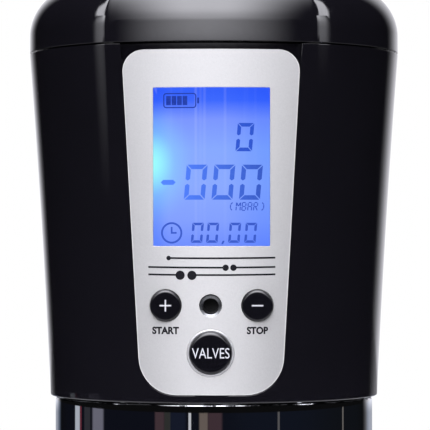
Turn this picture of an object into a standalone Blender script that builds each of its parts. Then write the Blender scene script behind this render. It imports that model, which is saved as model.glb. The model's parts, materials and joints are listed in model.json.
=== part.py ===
"""Hand-held digital vacuum pump head, modelled in millimetres and scaled to metres.

The housing stands on its chrome collar: +Z runs up the housing's axis, the face plate looks
along -Y, and the origin is the centre of the collar's lower rim.
"""
import math

import bmesh
import bpy
from mathutils import Matrix, Vector

MM = 0.001

# Housing: a round tapered shell whose front and back are eased flatter between two creases.
SHELL_BOTTOM_Z = 20.0
SEAM_Z = 95.4
SHELL_BOTTOM_R = 36.3
SHELL_TOP_R = 41.0
FLARE = 0.32
FACET_FLATTENING = 2.6
SEGMENTS = 44
FIT_GAP = 0.3
CREASE_ANGLE = 4.0 * 2.0 * math.pi / SEGMENTS
WALL = 2.8
FLOOR_UNDERSIDE_Z = 22.0
FLOOR_TOP_Z = 24.6
SKIRT_INNER_R = 33.5

# Cap
SEAM_GAP = 0.35
CAP_STRAIGHT = 3.6
CAP_CORNER_R = 11.0
CAP_CROWN_H = 3.4
CAP_WALL = 2.4
SPIGOT_DEPTH = 3.0
SPIGOT_OFFSET = WALL + 0.3

# Collar and vessel seat
COLLAR_R = 35.2
COLLAR_INNER_R = 31.5
COLLAR_TOP_Z = 19.7
COLLAR_SPIGOT_TOP_Z = 21.7
COLLAR_FLANGE_Z = 18.7
COLLAR_FLANGE_R = 24.0
GASKET_Z = (13.9, 16.9)
GASKET_R = (25.0, 31.2)
COLLAR_SCREW_R = 28.5
COLLAR_SCREW_HOLE_R = 1.5
PORT_XY = (1.0, -13.5)
PORT_R = 1.8

# Face plate, given as half widths at heights, on the curved front
PLATE_X = 0.08
PLATE_BOTTOM_Z = 21.7
PLATE_TOP_Z = 94.05
PLATE_HALF_WIDTH_TOP = 18.88
PLATE_HALF_WIDTH_LOW = 15.53
PLATE_LOW_Z = 33.0
PLATE_CORNER_TOP = 4.4
PLATE_CORNER_LOW = 8.0
PLATE_DEPTH = (0.05, 1.15)
POCKET_DEPTH = 1.55
POCKET_GAP = 0.35
WINDOW_CENTRE = (0.2, 69.5)
WINDOW_SIZE = (24.5, 33.2)
WINDOW_LEDGE = 1.2
DISPLAY_MARGIN = 0.3
DISPLAY_FRAME_WALL = 1.1
LENS_GAP = 0.12
LENS_DEPTH = (0.1, 1.05)

# Front controls: place on the front (x, z), and how far the board lies behind the surface
FRONT_TILT = math.radians(1.6)
START_BUTTON_X = -9.45
STOP_BUTTON_X = 9.8
BUTTON_ROW_Z = 40.4
SMALL_BUTTON_R = 3.25
VALVE_BUTTON_Z = 30.45
VALVE_BUTTON_R = 4.4
VALVE_RING_R = (4.55, 4.85)
BUTTON_PROUD = 0.9
HOLE_GAP = 0.15
FLANGE_THICKNESS = 0.7
BUTTON_TRAVEL = 0.5
STEM_R = 1.0
SWITCH_SIZE = 6.0
SWITCH_HEIGHT = 3.0
BOARD_Y_AT_ROW = -25.6
BOARD_THICKNESS = 1.6
BOARD_HALF_WIDTH = 17.0
BOARD_Z = (25.4, 93.4)
BOARD_POST_R = 2.2
BOARD_PILOT_R = 1.2
BOARD_HOLE_R = 1.3
BOARD_SCREWS = ((-12.5, 29.4), (12.5, 29.4), (-12.5, 89.9), (12.5, 89.9))
SOCKET_BORE_R = 1.65
SOCKET_SLEEVE_R = 2.3
SOCKET_DEPTH = 0.9

# Pump stack
PUMP_XY = (-8.0, 7.0)
MOTOR_R = 12.2
MOTOR_Z = (35.0, 64.0)
MOTOR_CAN_WALL = 1.0
ROTOR_R = 9.6
BEARING_R = 1.3
SHAFT_R = 1.0
PUMP_R = 13.0
WOBBLE_CENTRE_Z = 76.0
WOBBLE_TILT = math.radians(6.0)
WOBBLE_R = 9.5
NIPPLE_R = 1.6
NIPPLE_BORE_R = 0.8
HOSE_R = 2.3

# Release valve, upright on the shell floor
VALVE_XY = (-20.0, -13.0)
PLUNGER_Z = (31.0, 50.7)
SPRING_R = 1.4
SPRING_WIRE_R = 0.25
SPRING_TURNS = 3.5

# Cells
CELL_XY = ((17.5, 13.0), (20.0, -7.0))
CELL_R = 9.2
CELL_Z = (26.5, 91.5)


# ---------------------------------------------------------------- helpers

def clear_scene():
    for obj in list(bpy.data.objects):
        bpy.data.objects.remove(obj, do_unlink=True)


def material(name, colour, roughness, metallic=0.0):
    made = bpy.data.materials.new(name)
    made.use_nodes = True
    shader = made.node_tree.nodes["Principled BSDF"]
    shader.inputs["Base Color"].default_value = (*colour, 1.0)
    shader.inputs["Roughness"].default_value = roughness
    shader.inputs["Metallic"].default_value = metallic
    return made


def add_object(name, bm, mat, parent=None, sharp=32.0, hidden=False):
    """Turn a bmesh in millimetres into a named object in metres."""
    bmesh.ops.scale(bm, vec=(MM, MM, MM), verts=bm.verts)
    bmesh.ops.recalc_face_normals(bm, faces=bm.faces)
    mesh = bpy.data.meshes.new(name)
    bm.to_mesh(mesh)
    bm.free()
    mesh.shade_smooth()
    mesh.set_sharp_from_angle(angle=math.radians(sharp))
    if mat:
        mesh.materials.append(mat)
    obj = bpy.data.objects.new(name, mesh)
    bpy.context.scene.collection.objects.link(obj)
    obj.parent = parent
    if hidden:
        obj.hide_render = True
        obj.display_type = "WIRE"
    return obj


def anchor(name, place, tilt=0.0):
    """An empty at a joint or fitting, in millimetres; tilt turns it about X."""
    empty = bpy.data.objects.new(name, None)
    empty.empty_display_size = 0.003
    bpy.context.scene.collection.objects.link(empty)
    empty.location = Vector(place) * MM
    empty.rotation_euler = (tilt, 0.0, 0.0)
    return empty


def boolean(obj, cutter, operation="DIFFERENCE"):
    modifier = obj.modifiers.new(cutter.name, "BOOLEAN")
    modifier.operation = operation
    modifier.object = cutter
    modifier.solver = "EXACT"


def join_rings(bm, rings, closed_loop=False):
    """Skin a row of rings; a ring of one vertex is a pole."""
    pairs = list(zip(rings, rings[1:]))
    if closed_loop:
        pairs.append((rings[-1], rings[0]))
    for lower, upper in pairs:
        count = max(len(lower), len(upper))
        for i in range(count):
            j = (i + 1) % count
            if len(lower) == 1:
                bm.faces.new((lower[0], upper[j], upper[i]))
            elif len(upper) == 1:
                bm.faces.new((lower[i], lower[j], upper[0]))
            else:
                bm.faces.new((lower[i], lower[j], upper[j], upper[i]))


def turned(profile, segments=24, closed_loop=False, centre=(0.0, 0.0)):
    """Turn a profile of (radius, height) about a line parallel to Z."""
    bm = bmesh.new()
    rings = []
    for radius, height in profile:
        if radius < 1e-6:
            rings.append([bm.verts.new((centre[0], centre[1], height))])
            continue
        ring = []
        for i in range(segments):
            turn = 2.0 * math.pi * i / segments
            x = centre[0] + radius * math.sin(turn)
            y = centre[1] - radius * math.cos(turn)
            ring.append(bm.verts.new((x, y, height)))
        rings.append(ring)
    join_rings(bm, rings, closed_loop)
    return bm


def face_front(bm):
    """Lay a shape turned about Z down so that its top looks along -Y."""
    bmesh.ops.rotate(bm, cent=(0, 0, 0), matrix=Matrix.Rotation(math.pi / 2, 3, "X"), verts=bm.verts)
    return bm


def move(bm, offset):
    bmesh.ops.translate(bm, vec=offset, verts=bm.verts)
    return bm


def box(low, high, bevel=0.0):
    bm = bmesh.new()
    bmesh.ops.create_cube(bm, size=1.0)
    size = [high[i] - low[i] for i in range(3)]
    middle = [(high[i] + low[i]) / 2.0 for i in range(3)]
    bmesh.ops.scale(bm, vec=size, verts=bm.verts)
    bmesh.ops.translate(bm, vec=middle, verts=bm.verts)
    if bevel:
        bmesh.ops.bevel(bm, geom=bm.edges[:], offset=bevel, segments=1, affect="EDGES")
    return bm


def cylinder(radius, low, high, segments=20, centre=(0.0, 0.0)):
    profile = [(0.0, low), (radius, low), (radius, high), (0.0, high)]
    return turned(profile, segments, centre=centre)


# ---------------------------------------------------------------- housing surface

def shell_radius(z):
    share = (z - SHELL_BOTTOM_Z) / (SEAM_Z - SHELL_BOTTOM_Z)
    bow = FLARE * 4.0 * share * (1.0 - share)
    return SHELL_BOTTOM_R + (SHELL_TOP_R - SHELL_BOTTOM_R) * share - bow


def shell_flattening(z):
    share = (z - SHELL_BOTTOM_Z) / (SEAM_Z - SHELL_BOTTOM_Z)
    return FACET_FLATTENING * max(share, 0.0)


def facet(radius, flattening):
    """The arc through both creases: its radius, and its centre on the Y axis."""
    half_chord = radius * math.sin(CREASE_ANGLE)
    sagitta = radius * (1.0 - math.cos(CREASE_ANGLE)) - flattening
    arc_radius = (half_chord ** 2 + sagitta ** 2) / (2.0 * sagitta)
    return arc_radius, arc_radius - (radius - flattening)


def section_radius(angle, radius, flattening):
    """Radius of the housing's section at an angle from -Y."""
    from_y = abs(math.atan2(math.sin(angle), math.cos(angle)))
    from_y = min(from_y, math.pi - from_y)
    if from_y >= CREASE_ANGLE or flattening <= 0.0:
        return radius
    arc_radius, centre = facet(radius, flattening)
    return math.sqrt(arc_radius ** 2 - (centre * math.sin(from_y)) ** 2) - centre * math.cos(from_y)


def front_y(x, z):
    """Y of the housing's front surface at a place on it."""
    height = min(z, SEAM_Z)
    arc_radius, centre = facet(shell_radius(height), shell_flattening(height) + 1e-6)
    return centre - math.sqrt(arc_radius ** 2 - x ** 2)


def housing_ring(bm, z, radius, flattening, inset=0.0):
    ring = []
    for i in range(SEGMENTS):
        angle = 2.0 * math.pi * i / SEGMENTS
        r = section_radius(angle, radius, flattening) - inset
        ring.append(bm.verts.new((r * math.sin(angle), -r * math.cos(angle), z)))
    return ring


def round_ring(bm, z, radius):
    return housing_ring(bm, z, radius, 0.0)


# ---------------------------------------------------------------- curved front panels

def rounded_outline(corners, steps=5):
    """Corners are (x, z, radius), anticlockwise; each becomes an arc tangent to its sides."""
    points = []
    count = len(corners)
    for i in range(count):
        here = Vector(corners[i][:2])
        before = (Vector(corners[i - 1][:2]) - here).normalized()
        after = (Vector(corners[(i + 1) % count][:2]) - here).normalized()
        radius = corners[i][2]
        if radius <= 0.0:
            points.append(here)
            continue
        half = before.angle(after) / 2.0
        centre = here + (before + after).normalized() * radius / math.sin(half)
        start = here + before * radius / math.tan(half) - centre
        sweep = math.pi - 2.0 * half
        for step in range(steps + 1):
            turn = Matrix.Rotation(sweep * step / steps, 2)
            points.append(centre + turn @ start)
    return points


def slab(outline, depth):
    """A flat plate in X and Z, with its depth along Y."""
    bm = bmesh.new()
    front = [bm.verts.new((p[0], depth[0], p[1])) for p in outline]
    back = [bm.verts.new((p[0], depth[1], p[1])) for p in outline]
    bm.faces.new(front)
    bm.faces.new(list(reversed(back)))
    count = len(outline)
    for i in range(count):
        j = (i + 1) % count
        bm.faces.new((front[j], front[i], back[i], back[j]))
    return bm


def bend_to_front(bm):
    """Cut a flat plate into strips, then lay it on the housing's curved front."""
    for step in range(-5, 6):
        everything = bm.verts[:] + bm.edges[:] + bm.faces[:]
        bmesh.ops.bisect_plane(bm, geom=everything, plane_co=(4.0 * step, 0, 0), plane_no=(1, 0, 0))
    for height in (45.0, 70.0):
        everything = bm.verts[:] + bm.edges[:] + bm.faces[:]
        bmesh.ops.bisect_plane(bm, geom=everything, plane_co=(0, 0, height), plane_no=(0, 0, 1))
    bmesh.ops.triangulate(bm, faces=bm.faces[:])
    for vert in bm.verts:
        vert.co.y += front_y(vert.co.x, vert.co.z)
    return bm


def cut_flat(bm, cutters):
    """Cut holes in a flat plate before it is bent."""
    plate = add_object("flat_plate", bm, None)
    tools = [add_object("flat_cutter", tool, None) for tool in cutters]
    for tool in tools:
        boolean(plate, tool)
    bpy.context.view_layer.update()
    evaluated = plate.evaluated_get(bpy.context.evaluated_depsgraph_get())
    result = bmesh.new()
    result.from_mesh(evaluated.to_mesh())
    evaluated.to_mesh_clear()
    for obj in [plate] + tools:
        bpy.data.objects.remove(obj, do_unlink=True)
    bmesh.ops.scale(result, vec=(1.0 / MM,) * 3, verts=result.verts)
    return result


def plate_half_width(z):
    share = (z - PLATE_LOW_Z) / (PLATE_TOP_Z - PLATE_LOW_Z)
    return PLATE_HALF_WIDTH_LOW + (PLATE_HALF_WIDTH_TOP - PLATE_HALF_WIDTH_LOW) * share


def plate_outline(grow=0.0, top=PLATE_TOP_Z, top_corner=PLATE_CORNER_TOP):
    low = plate_half_width(PLATE_BOTTOM_Z) + grow
    high = plate_half_width(top) + grow
    bottom = PLATE_BOTTOM_Z - grow
    corner = PLATE_CORNER_LOW + grow
    return rounded_outline([
        (PLATE_X - low, bottom, corner),
        (PLATE_X + low, bottom, corner),
        (PLATE_X + high, top, top_corner),
        (PLATE_X - high, top, top_corner),
    ])


def window_outline(shrink=0.0, corner=0.2):
    x, z = WINDOW_CENTRE
    half_w = WINDOW_SIZE[0] / 2.0 - shrink
    half_h = WINDOW_SIZE[1] / 2.0 - shrink
    return rounded_outline([
        (x - half_w, z - half_h, corner),
        (x + half_w, z - half_h, corner),
        (x + half_w, z + half_h, corner),
        (x - half_w, z + half_h, corner),
    ], steps=2)


def front_hole(x, z, radius, depth, segments=20):
    return move(face_front(cylinder(radius, -depth[1], -depth[0], segments)), (x, 0.0, z))


# ---------------------------------------------------------------- outer pieces

def make_main_shell(mat):
    bm = bmesh.new()
    rings = [[bm.verts.new((0, 0, FLOOR_UNDERSIDE_Z))]]
    rings.append(round_ring(bm, FLOOR_UNDERSIDE_Z, SKIRT_INNER_R))
    rings.append(round_ring(bm, SHELL_BOTTOM_Z, SKIRT_INNER_R))
    rings.append(round_ring(bm, SHELL_BOTTOM_Z, SHELL_BOTTOM_R - 0.4))
    for z in (SHELL_BOTTOM_Z + 0.4, 38.0, 56.0, 75.0, SEAM_Z - 0.3):
        rings.append(housing_ring(bm, z, shell_radius(z), shell_flattening(z)))
    rings.append(housing_ring(bm, SEAM_Z, SHELL_TOP_R, FACET_FLATTENING, 0.3))
    for z in (SEAM_Z, 56.0, FLOOR_TOP_Z):
        rings.append(housing_ring(bm, z, shell_radius(z), shell_flattening(z), WALL))
    rings.append([bm.verts.new((0, 0, FLOOR_TOP_Z))])
    join_rings(bm, rings)
    shell = add_object("main_shell", bm, mat)

    for index, (x, z) in enumerate(BOARD_SCREWS):
        start = front_y(x, z) + WALL - 0.4
        end = board_front_y(z) - 0.3
        post = move(face_front(cylinder(BOARD_POST_R, -end, -start, 12)), (x, 0.0, z))
        boolean(shell, add_object(f"cutter_post_{index}", post, None, hidden=True), "UNION")

    pocket = bend_to_front(slab(plate_outline(POCKET_GAP, SEAM_Z + 3.0, 0.0), (-4.0, POCKET_DEPTH)))
    boolean(shell, add_object("cutter_pocket", pocket, None, hidden=True))
    x, z = WINDOW_CENTRE
    half_w = WINDOW_SIZE[0] / 2.0 - WINDOW_LEDGE
    half_h = WINDOW_SIZE[1] / 2.0 - WINDOW_LEDGE
    window = box((x - half_w, -45.0, z - half_h), (x + half_w, -30.0, z + half_h))
    boolean(shell, add_object("cutter_window", window, None, hidden=True))
    for name, x, z, radius in (
        ("start", START_BUTTON_X, BUTTON_ROW_Z, SMALL_BUTTON_R + FIT_GAP),
        ("stop", STOP_BUTTON_X, BUTTON_ROW_Z, SMALL_BUTTON_R + FIT_GAP),
        ("valve", 0.0, VALVE_BUTTON_Z, VALVE_BUTTON_R + FIT_GAP),
        ("socket", 0.0, BUTTON_ROW_Z, SOCKET_SLEEVE_R + FIT_GAP),
    ):
        hole = front_hole(x, z, radius, (-45.0, -29.0))
        boolean(shell, add_object(f"cutter_{name}_hole", hole, None, hidden=True))
    for index, (x, z) in enumerate(BOARD_SCREWS):
        hole = front_hole(x, z, BOARD_PILOT_R, (board_front_y(z) - 4.0, board_front_y(z) + 1.0), 10)
        boolean(shell, add_object(f"cutter_post_hole_{index}", hole, None, hidden=True))
    for index, (x, y) in enumerate(collar_screw_places()):
        hole = cylinder(COLLAR_SCREW_HOLE_R, FLOOR_UNDERSIDE_Z - 1.0, FLOOR_TOP_Z + 1.0, 12, (x, y))
        boolean(shell, add_object(f"cutter_floor_hole_{index}", hole, None, hidden=True))
    port = cylinder(PORT_R, FLOOR_UNDERSIDE_Z - 1.0, FLOOR_TOP_Z + 1.0, 16, PORT_XY)
    boolean(shell, add_object("cutter_port", port, None, hidden=True))
    return shell


def make_top_cap(mat):
    lower = SEAM_Z + SEAM_GAP
    corner_z = lower + CAP_STRAIGHT
    corner_r = SHELL_TOP_R - CAP_CORNER_R
    last = math.radians(78.0)
    bm = bmesh.new()

    def ring(z, radius, inset=0.0):
        return housing_ring(bm, z, radius, FACET_FLATTENING * radius / SHELL_TOP_R, inset)

    rings = [ring(lower, SHELL_TOP_R, 0.3), ring(lower + 0.3, SHELL_TOP_R)]
    rings.append(ring(corner_z, SHELL_TOP_R))
    for step in range(1, 5):
        turn = last * step / 4.0
        radius = corner_r + CAP_CORNER_R * math.cos(turn)
        rings.append(ring(corner_z + CAP_CORNER_R * math.sin(turn), radius))
    edge_r = corner_r + CAP_CORNER_R * math.cos(last)
    edge_z = corner_z + CAP_CORNER_R * math.sin(last)
    top_z = edge_z + CAP_CROWN_H
    rings.append(ring(top_z - CAP_CROWN_H * 0.3, edge_r * 0.55))
    rings.append([bm.verts.new((0, 0, top_z))])
    rings.append([bm.verts.new((0, 0, top_z - CAP_WALL))])
    outer = rings[:-1]
    inner = [rings[-1]]
    inner.append(ring(edge_z - CAP_WALL, edge_r * 0.92))
    inner.append(ring(corner_z + 5.0, SHELL_TOP_R, 6.2))
    inner.append(ring(lower, SHELL_TOP_R, SPIGOT_OFFSET + 2.2))
    inner.append(ring(SEAM_Z - SPIGOT_DEPTH, SHELL_TOP_R, SPIGOT_OFFSET + 2.2))
    inner.append(ring(SEAM_Z - SPIGOT_DEPTH, SHELL_TOP_R, SPIGOT_OFFSET + 0.2))
    inner.append(ring(SEAM_Z - 2.6, SHELL_TOP_R, SPIGOT_OFFSET))
    inner.append(ring(SEAM_Z - 2.6, SHELL_TOP_R, SPIGOT_OFFSET + 1.1))
    inner.append(ring(SEAM_Z - 1.0, SHELL_TOP_R, SPIGOT_OFFSET + 1.1))
    inner.append(ring(SEAM_Z - 1.0, SHELL_TOP_R, SPIGOT_OFFSET))
    inner.append(ring(lower, SHELL_TOP_R, SPIGOT_OFFSET))
    join_rings(bm, outer)
    join_rings(bm, inner)
    join_rings(bm, [inner[-1], outer[0]])
    return add_object("top_cap", bm, mat)


def make_cap_seal(mat):
    bm = bmesh.new()
    rings = []
    for z, inset in ((-2.4, 0.9), (-2.4, 0.0), (-1.2, 0.0), (-1.2, 0.9)):
        rings.append(housing_ring(bm, SEAM_Z + z, SHELL_TOP_R, FACET_FLATTENING, SPIGOT_OFFSET + inset))
    join_rings(bm, rings, closed_loop=True)
    return add_object("cap_seal", bm, mat)


def make_face_plate(mat):
    depth = (PLATE_DEPTH[0] - 2.0, PLATE_DEPTH[1] + 2.0)
    holes = [slab(window_outline(), depth)]
    for x in (START_BUTTON_X, STOP_BUTTON_X):
        holes.append(front_hole(x, BUTTON_ROW_Z, SMALL_BUTTON_R + HOLE_GAP, depth))
    holes.append(front_hole(0.0, BUTTON_ROW_Z, SOCKET_SLEEVE_R + HOLE_GAP, depth))
    holes.append(front_hole(0.0, VALVE_BUTTON_Z, VALVE_RING_R[1] + HOLE_GAP, depth))
    plate = cut_flat(slab(plate_outline(), PLATE_DEPTH), holes)
    return add_object("face_plate", bend_to_front(plate), mat)


def make_display_lens(mat):
    return add_object("display_lens", bend_to_front(slab(window_outline(LENS_GAP), LENS_DEPTH)), mat)


def make_collar(mat):
    profile = [
        (34.8, 0.0), (COLLAR_R, 0.4), (COLLAR_R, COLLAR_TOP_Z - 0.3), (COLLAR_R - 0.3, COLLAR_TOP_Z),
        (SKIRT_INNER_R - 0.3, COLLAR_TOP_Z), (SKIRT_INNER_R - 0.3, COLLAR_SPIGOT_TOP_Z),
        (COLLAR_FLANGE_R, COLLAR_SPIGOT_TOP_Z), (COLLAR_FLANGE_R, COLLAR_FLANGE_Z),
        (COLLAR_INNER_R, COLLAR_FLANGE_Z), (COLLAR_INNER_R, 0.4), (COLLAR_INNER_R + 0.4, 0.0),
    ]
    collar = add_object("suction_collar", turned(profile, SEGMENTS, closed_loop=True), mat)
    for index, (x, y) in enumerate(collar_screw_places()):
        hole = cylinder(COLLAR_SCREW_HOLE_R, COLLAR_FLANGE_Z - 1.0, COLLAR_SPIGOT_TOP_Z + 1.0, 12, (x, y))
        boolean(collar, add_object(f"cutter_collar_hole_{index}", hole, None, hidden=True))
    return collar


def make_vessel_gasket(mat):
    inner, outer = GASKET_R
    low, high = GASKET_Z
    profile = [(inner, low), (outer, low), (outer, high), (inner, high)]
    return add_object("vessel_gasket", turned(profile, 32, closed_loop=True), mat)


# ---------------------------------------------------------------- controls

def board_front_y(z):
    return BOARD_Y_AT_ROW - (z - BUTTON_ROW_Z) * math.tan(FRONT_TILT)


def make_button(name, x, z, radius, mat, switch_mat, stem_mat):
    """A push button, and the switch behind it, on one axis normal to the front."""
    surface = front_y(x, z)
    board = board_front_y(z) - surface
    axis = anchor(f"{name}_axis", (x, surface, z), FRONT_TILT)
    switch_face = board - 0.3 - SWITCH_HEIGHT
    stem_top = switch_face - 1.3
    flange = stem_top - 0.3 - FLANGE_THICKNESS
    proud = BUTTON_PROUD
    profile = [
        (0.0, proud), (radius * 0.80, proud - 0.03), (radius * 0.94, proud - 0.22),
        (radius, proud - 0.7), (radius, -flange), (radius + 0.7, -flange),
        (radius + 0.7, -flange - FLANGE_THICKNESS), (0.0, -flange - FLANGE_THICKNESS),
    ]
    add_object(f"{name}_button", face_front(turned(profile, 20)), mat, axis)
    stem = face_front(cylinder(STEM_R, -switch_face - 0.6, -stem_top, 12))
    add_object(f"{name}_switch_stem", stem, stem_mat, axis)
    half = SWITCH_SIZE / 2.0
    body = add_object(
        f"{name}_switch",
        box((-half, switch_face, -half), (half, switch_face + SWITCH_HEIGHT, half), 0.3),
        switch_mat, axis)
    well = face_front(cylinder(STEM_R + 0.3, -switch_face - 0.9 - BUTTON_TRAVEL, -switch_face + 1.0, 12))
    boolean(body, add_object(f"cutter_{name}_well", well, None, axis, hidden=True))


def make_valve_ring(mat):
    surface = front_y(0.0, VALVE_BUTTON_Z)
    axis = anchor("valve_ring_axis", (0.0, surface, VALVE_BUTTON_Z), FRONT_TILT)
    inner, outer = VALVE_RING_R
    profile = [(inner, -1.2), (outer, -1.2), (outer, 0.0), (outer - 0.1, 0.15), (inner, 0.15)]
    add_object("valve_button_ring", face_front(turned(profile, 24, closed_loop=True)), mat, axis)


def make_socket(sleeve_mat, body_mat):
    surface = front_y(0.0, BUTTON_ROW_Z)
    axis = anchor("socket_axis", (0.0, surface, BUTTON_ROW_Z), FRONT_TILT)
    profile = [
        (SOCKET_BORE_R, -4.5), (SOCKET_SLEEVE_R, -4.5), (SOCKET_SLEEVE_R, -SOCKET_DEPTH),
        (SOCKET_BORE_R + 0.15, -SOCKET_DEPTH), (SOCKET_BORE_R, -SOCKET_DEPTH - 0.15),
    ]
    add_object("charge_socket_sleeve", face_front(turned(profile, 24, closed_loop=True)), sleeve_mat, axis)
    body = add_object("charge_socket_body", box((-3.5, 4.8, -3.0), (3.5, 10.6, 3.0), 0.4), body_mat, axis)
    bore = face_front(cylinder(SOCKET_BORE_R, -9.6, -4.0, 16))
    boolean(body, add_object("cutter_socket_bore", bore, None, axis, hidden=True))


def make_display(glass_mat, light_mat, frame_mat):
    x, z = WINDOW_CENTRE
    axis = anchor("display_axis", (x, board_front_y(z), z), FRONT_TILT)
    half_w = WINDOW_SIZE[0] / 2.0 + DISPLAY_MARGIN
    half_h = WINDOW_SIZE[1] / 2.0 + DISPLAY_MARGIN
    rim_w = half_w + DISPLAY_FRAME_WALL
    rim_h = half_h + DISPLAY_FRAME_WALL
    add_object("display_glass", box((-half_w, -5.6, -half_h), (half_w, -4.1, half_h), 0.2), glass_mat, axis)
    add_object("display_backlight", box((-half_w, -3.8, -half_h), (half_w, -1.6, half_h), 0.2), light_mat, axis)
    outer = box((-rim_w, -4.9, -rim_h), (rim_w, -0.3, rim_h), 0.3)
    frame = add_object("display_frame", outer, frame_mat, axis)
    well_w = half_w + FIT_GAP
    well_h = half_h + FIT_GAP
    hollow = box((-well_w, -8.0, -well_h), (well_w, -1.3, well_h))
    boolean(frame, add_object("cutter_display_well", hollow, None, axis, hidden=True))
    ribbon = box((-half_w + 4.0, -2.0, -half_h + 2.0), (half_w - 4.0, 1.0, -half_h + 6.0))
    boolean(frame, add_object("cutter_display_ribbon", ribbon, None, axis, hidden=True))


def make_board(mat):
    axis = anchor("board_axis", (0.0, BOARD_Y_AT_ROW, BUTTON_ROW_Z), FRONT_TILT)
    low = BOARD_Z[0] - BUTTON_ROW_Z
    high = BOARD_Z[1] - BUTTON_ROW_Z
    shape = box((-BOARD_HALF_WIDTH, 0.0, low), (BOARD_HALF_WIDTH, BOARD_THICKNESS, high))
    board = add_object("control_board", shape, mat, axis)
    for index, (x, z) in enumerate(BOARD_SCREWS):
        hole = front_hole(x, z - BUTTON_ROW_Z, BOARD_HOLE_R, (-1.0, 3.0), 10)
        boolean(board, add_object(f"cutter_board_hole_{index}", hole, None, axis, hidden=True))


def make_sensor(mat):
    z = 62.0
    y = board_front_y(z) + BOARD_THICKNESS + 0.3
    sensor = add_object("pressure_sensor", box((-4.0, y, z - 4.0), (4.0, y + 4.4, z + 4.0), 0.3), mat)
    spout = move(face_front(cylinder(NIPPLE_R, -(y + 8.2), -(y + 4.0), 12)), (0.0, 0.0, z))
    boolean(sensor, add_object("cutter_sensor_spout", spout, None, hidden=True), "UNION")
    return Vector((0.0, y + 8.2, z))


# ---------------------------------------------------------------- pump

def make_motor(steel, plastic, copper, bright):
    low, high = MOTOR_Z
    inner = MOTOR_R - MOTOR_CAN_WALL
    can = [
        (MOTOR_R, low), (MOTOR_R, high - 0.6), (MOTOR_R - 0.6, high), (3.2, high), (3.2, high - 1.2),
        (inner, high - 1.2), (inner, low),
    ]
    add_object("motor_can", turned(can, 20, True, PUMP_XY), steel)
    cap = [
        (BEARING_R, low - 1.5), (MOTOR_R, low - 1.5), (MOTOR_R, low - FIT_GAP),
        (inner - FIT_GAP, low - FIT_GAP), (inner - FIT_GAP, low + 2.2), (BEARING_R, low + 2.2),
    ]
    add_object("motor_end_cap", turned(cap, 20, True, PUMP_XY), plastic)
    rotor = [
        (BEARING_R, low + 5.0), (ROTOR_R, low + 5.0), (ROTOR_R, high - 5.0), (BEARING_R, high - 5.0),
    ]
    shaft_axis = anchor("pump_shaft_axis", (*PUMP_XY, 0.0))
    add_object("motor_rotor", turned(rotor, 16, True), copper, shaft_axis)
    add_object("motor_shaft", cylinder(SHAFT_R, low - 2.2, 68.6, 12), bright, shaft_axis)
    hub = [(0.0, 69.0), (BEARING_R, 69.0), (BEARING_R, 66.3), (5.0, 66.3), (5.0, 70.3), (0.0, 70.3)]
    eccentric = add_object("drive_eccentric", turned(hub, 20), plastic, shaft_axis)
    pin = cylinder(SHAFT_R, -6.5, -0.6, 12)
    bmesh.ops.rotate(pin, cent=(0, 0, 0), matrix=Matrix.Rotation(WOBBLE_TILT, 3, "X"), verts=pin.verts)
    move(pin, (0.0, 0.0, WOBBLE_CENTRE_Z))
    boolean(eccentric, add_object("cutter_pin", pin, None, shaft_axis, hidden=True), "UNION")


def make_cradle(mat):
    foot = FLOOR_TOP_Z + FIT_GAP
    seat = MOTOR_R + FIT_GAP
    outer = seat + 1.1
    profile = [
        (4.0, foot), (outer, foot), (outer, 40.0), (seat, 40.0), (seat, 33.2), (9.0, 33.2), (9.0, 27.0),
        (4.0, 27.0),
    ]
    add_object("motor_cradle", turned(profile, 20, True, PUMP_XY), mat)


def make_pump_head(mat, rubber, plate_mat, wobble_mat):
    floor = MOTOR_Z[1] + FIT_GAP
    bore = PUMP_R - 1.8
    housing = [
        (PUMP_R, floor), (PUMP_R, 79.7), (bore, 79.7), (bore, floor + 1.5), (5.6, floor + 1.5), (5.6, floor),
    ]
    add_object("pump_housing", turned(housing, 20, True, PUMP_XY), mat)

    centre = anchor("wobble_axis", (*PUMP_XY, WOBBLE_CENTRE_Z), WOBBLE_TILT)
    plate = [
        (0.0, -0.3), (1.15, -0.3), (1.15, -4.2), (2.4, -4.2), (2.4, -1.0), (WOBBLE_R, -1.0), (WOBBLE_R, 1.0),
        (0.0, 1.0),
    ]
    add_object("wobble_plate", turned(plate, 20), wobble_mat, centre)

    diaphragm = add_object("diaphragm", cylinder(PUMP_R, 80.0, 81.2, 20, PUMP_XY), rubber)
    cover = add_object("pump_cover", cylinder(PUMP_R, 84.0, 88.0, 20, PUMP_XY), mat)
    valves = add_object("valve_plate", cylinder(PUMP_R, 81.5, 83.7, 20, PUMP_XY), plate_mat)
    for index in range(3):
        turn = 2.0 * math.pi * index / 3.0
        spot = (PUMP_XY[0] + 6.0 * math.sin(turn), PUMP_XY[1] - 6.0 * math.cos(turn))
        cup = cylinder(3.0, 78.7, 80.6, 12, spot)
        boolean(diaphragm, add_object(f"cutter_cup_{index}", cup, None, hidden=True), "UNION")
        hole = cylinder(0.9, 81.0, 84.2, 8, spot)
        boolean(valves, add_object(f"cutter_valve_{index}", hole, None, hidden=True))
    spouts = [(PUMP_XY[0] + 5.0, PUMP_XY[1] - 6.0), (PUMP_XY[0] - 4.0, PUMP_XY[1] + 5.0)]
    for index, spot in enumerate(spouts):
        spout = cylinder(NIPPLE_R, 87.0, 92.5, 12, spot)
        boolean(cover, add_object(f"cutter_spout_{index}", spout, None, hidden=True), "UNION")
        bore = cylinder(NIPPLE_BORE_R, 86.0, 94.0, 8, spot)
        boolean(cover, add_object(f"cutter_spout_bore_{index}", bore, None, hidden=True))
    return Vector((*spouts[0], 92.5))


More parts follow.
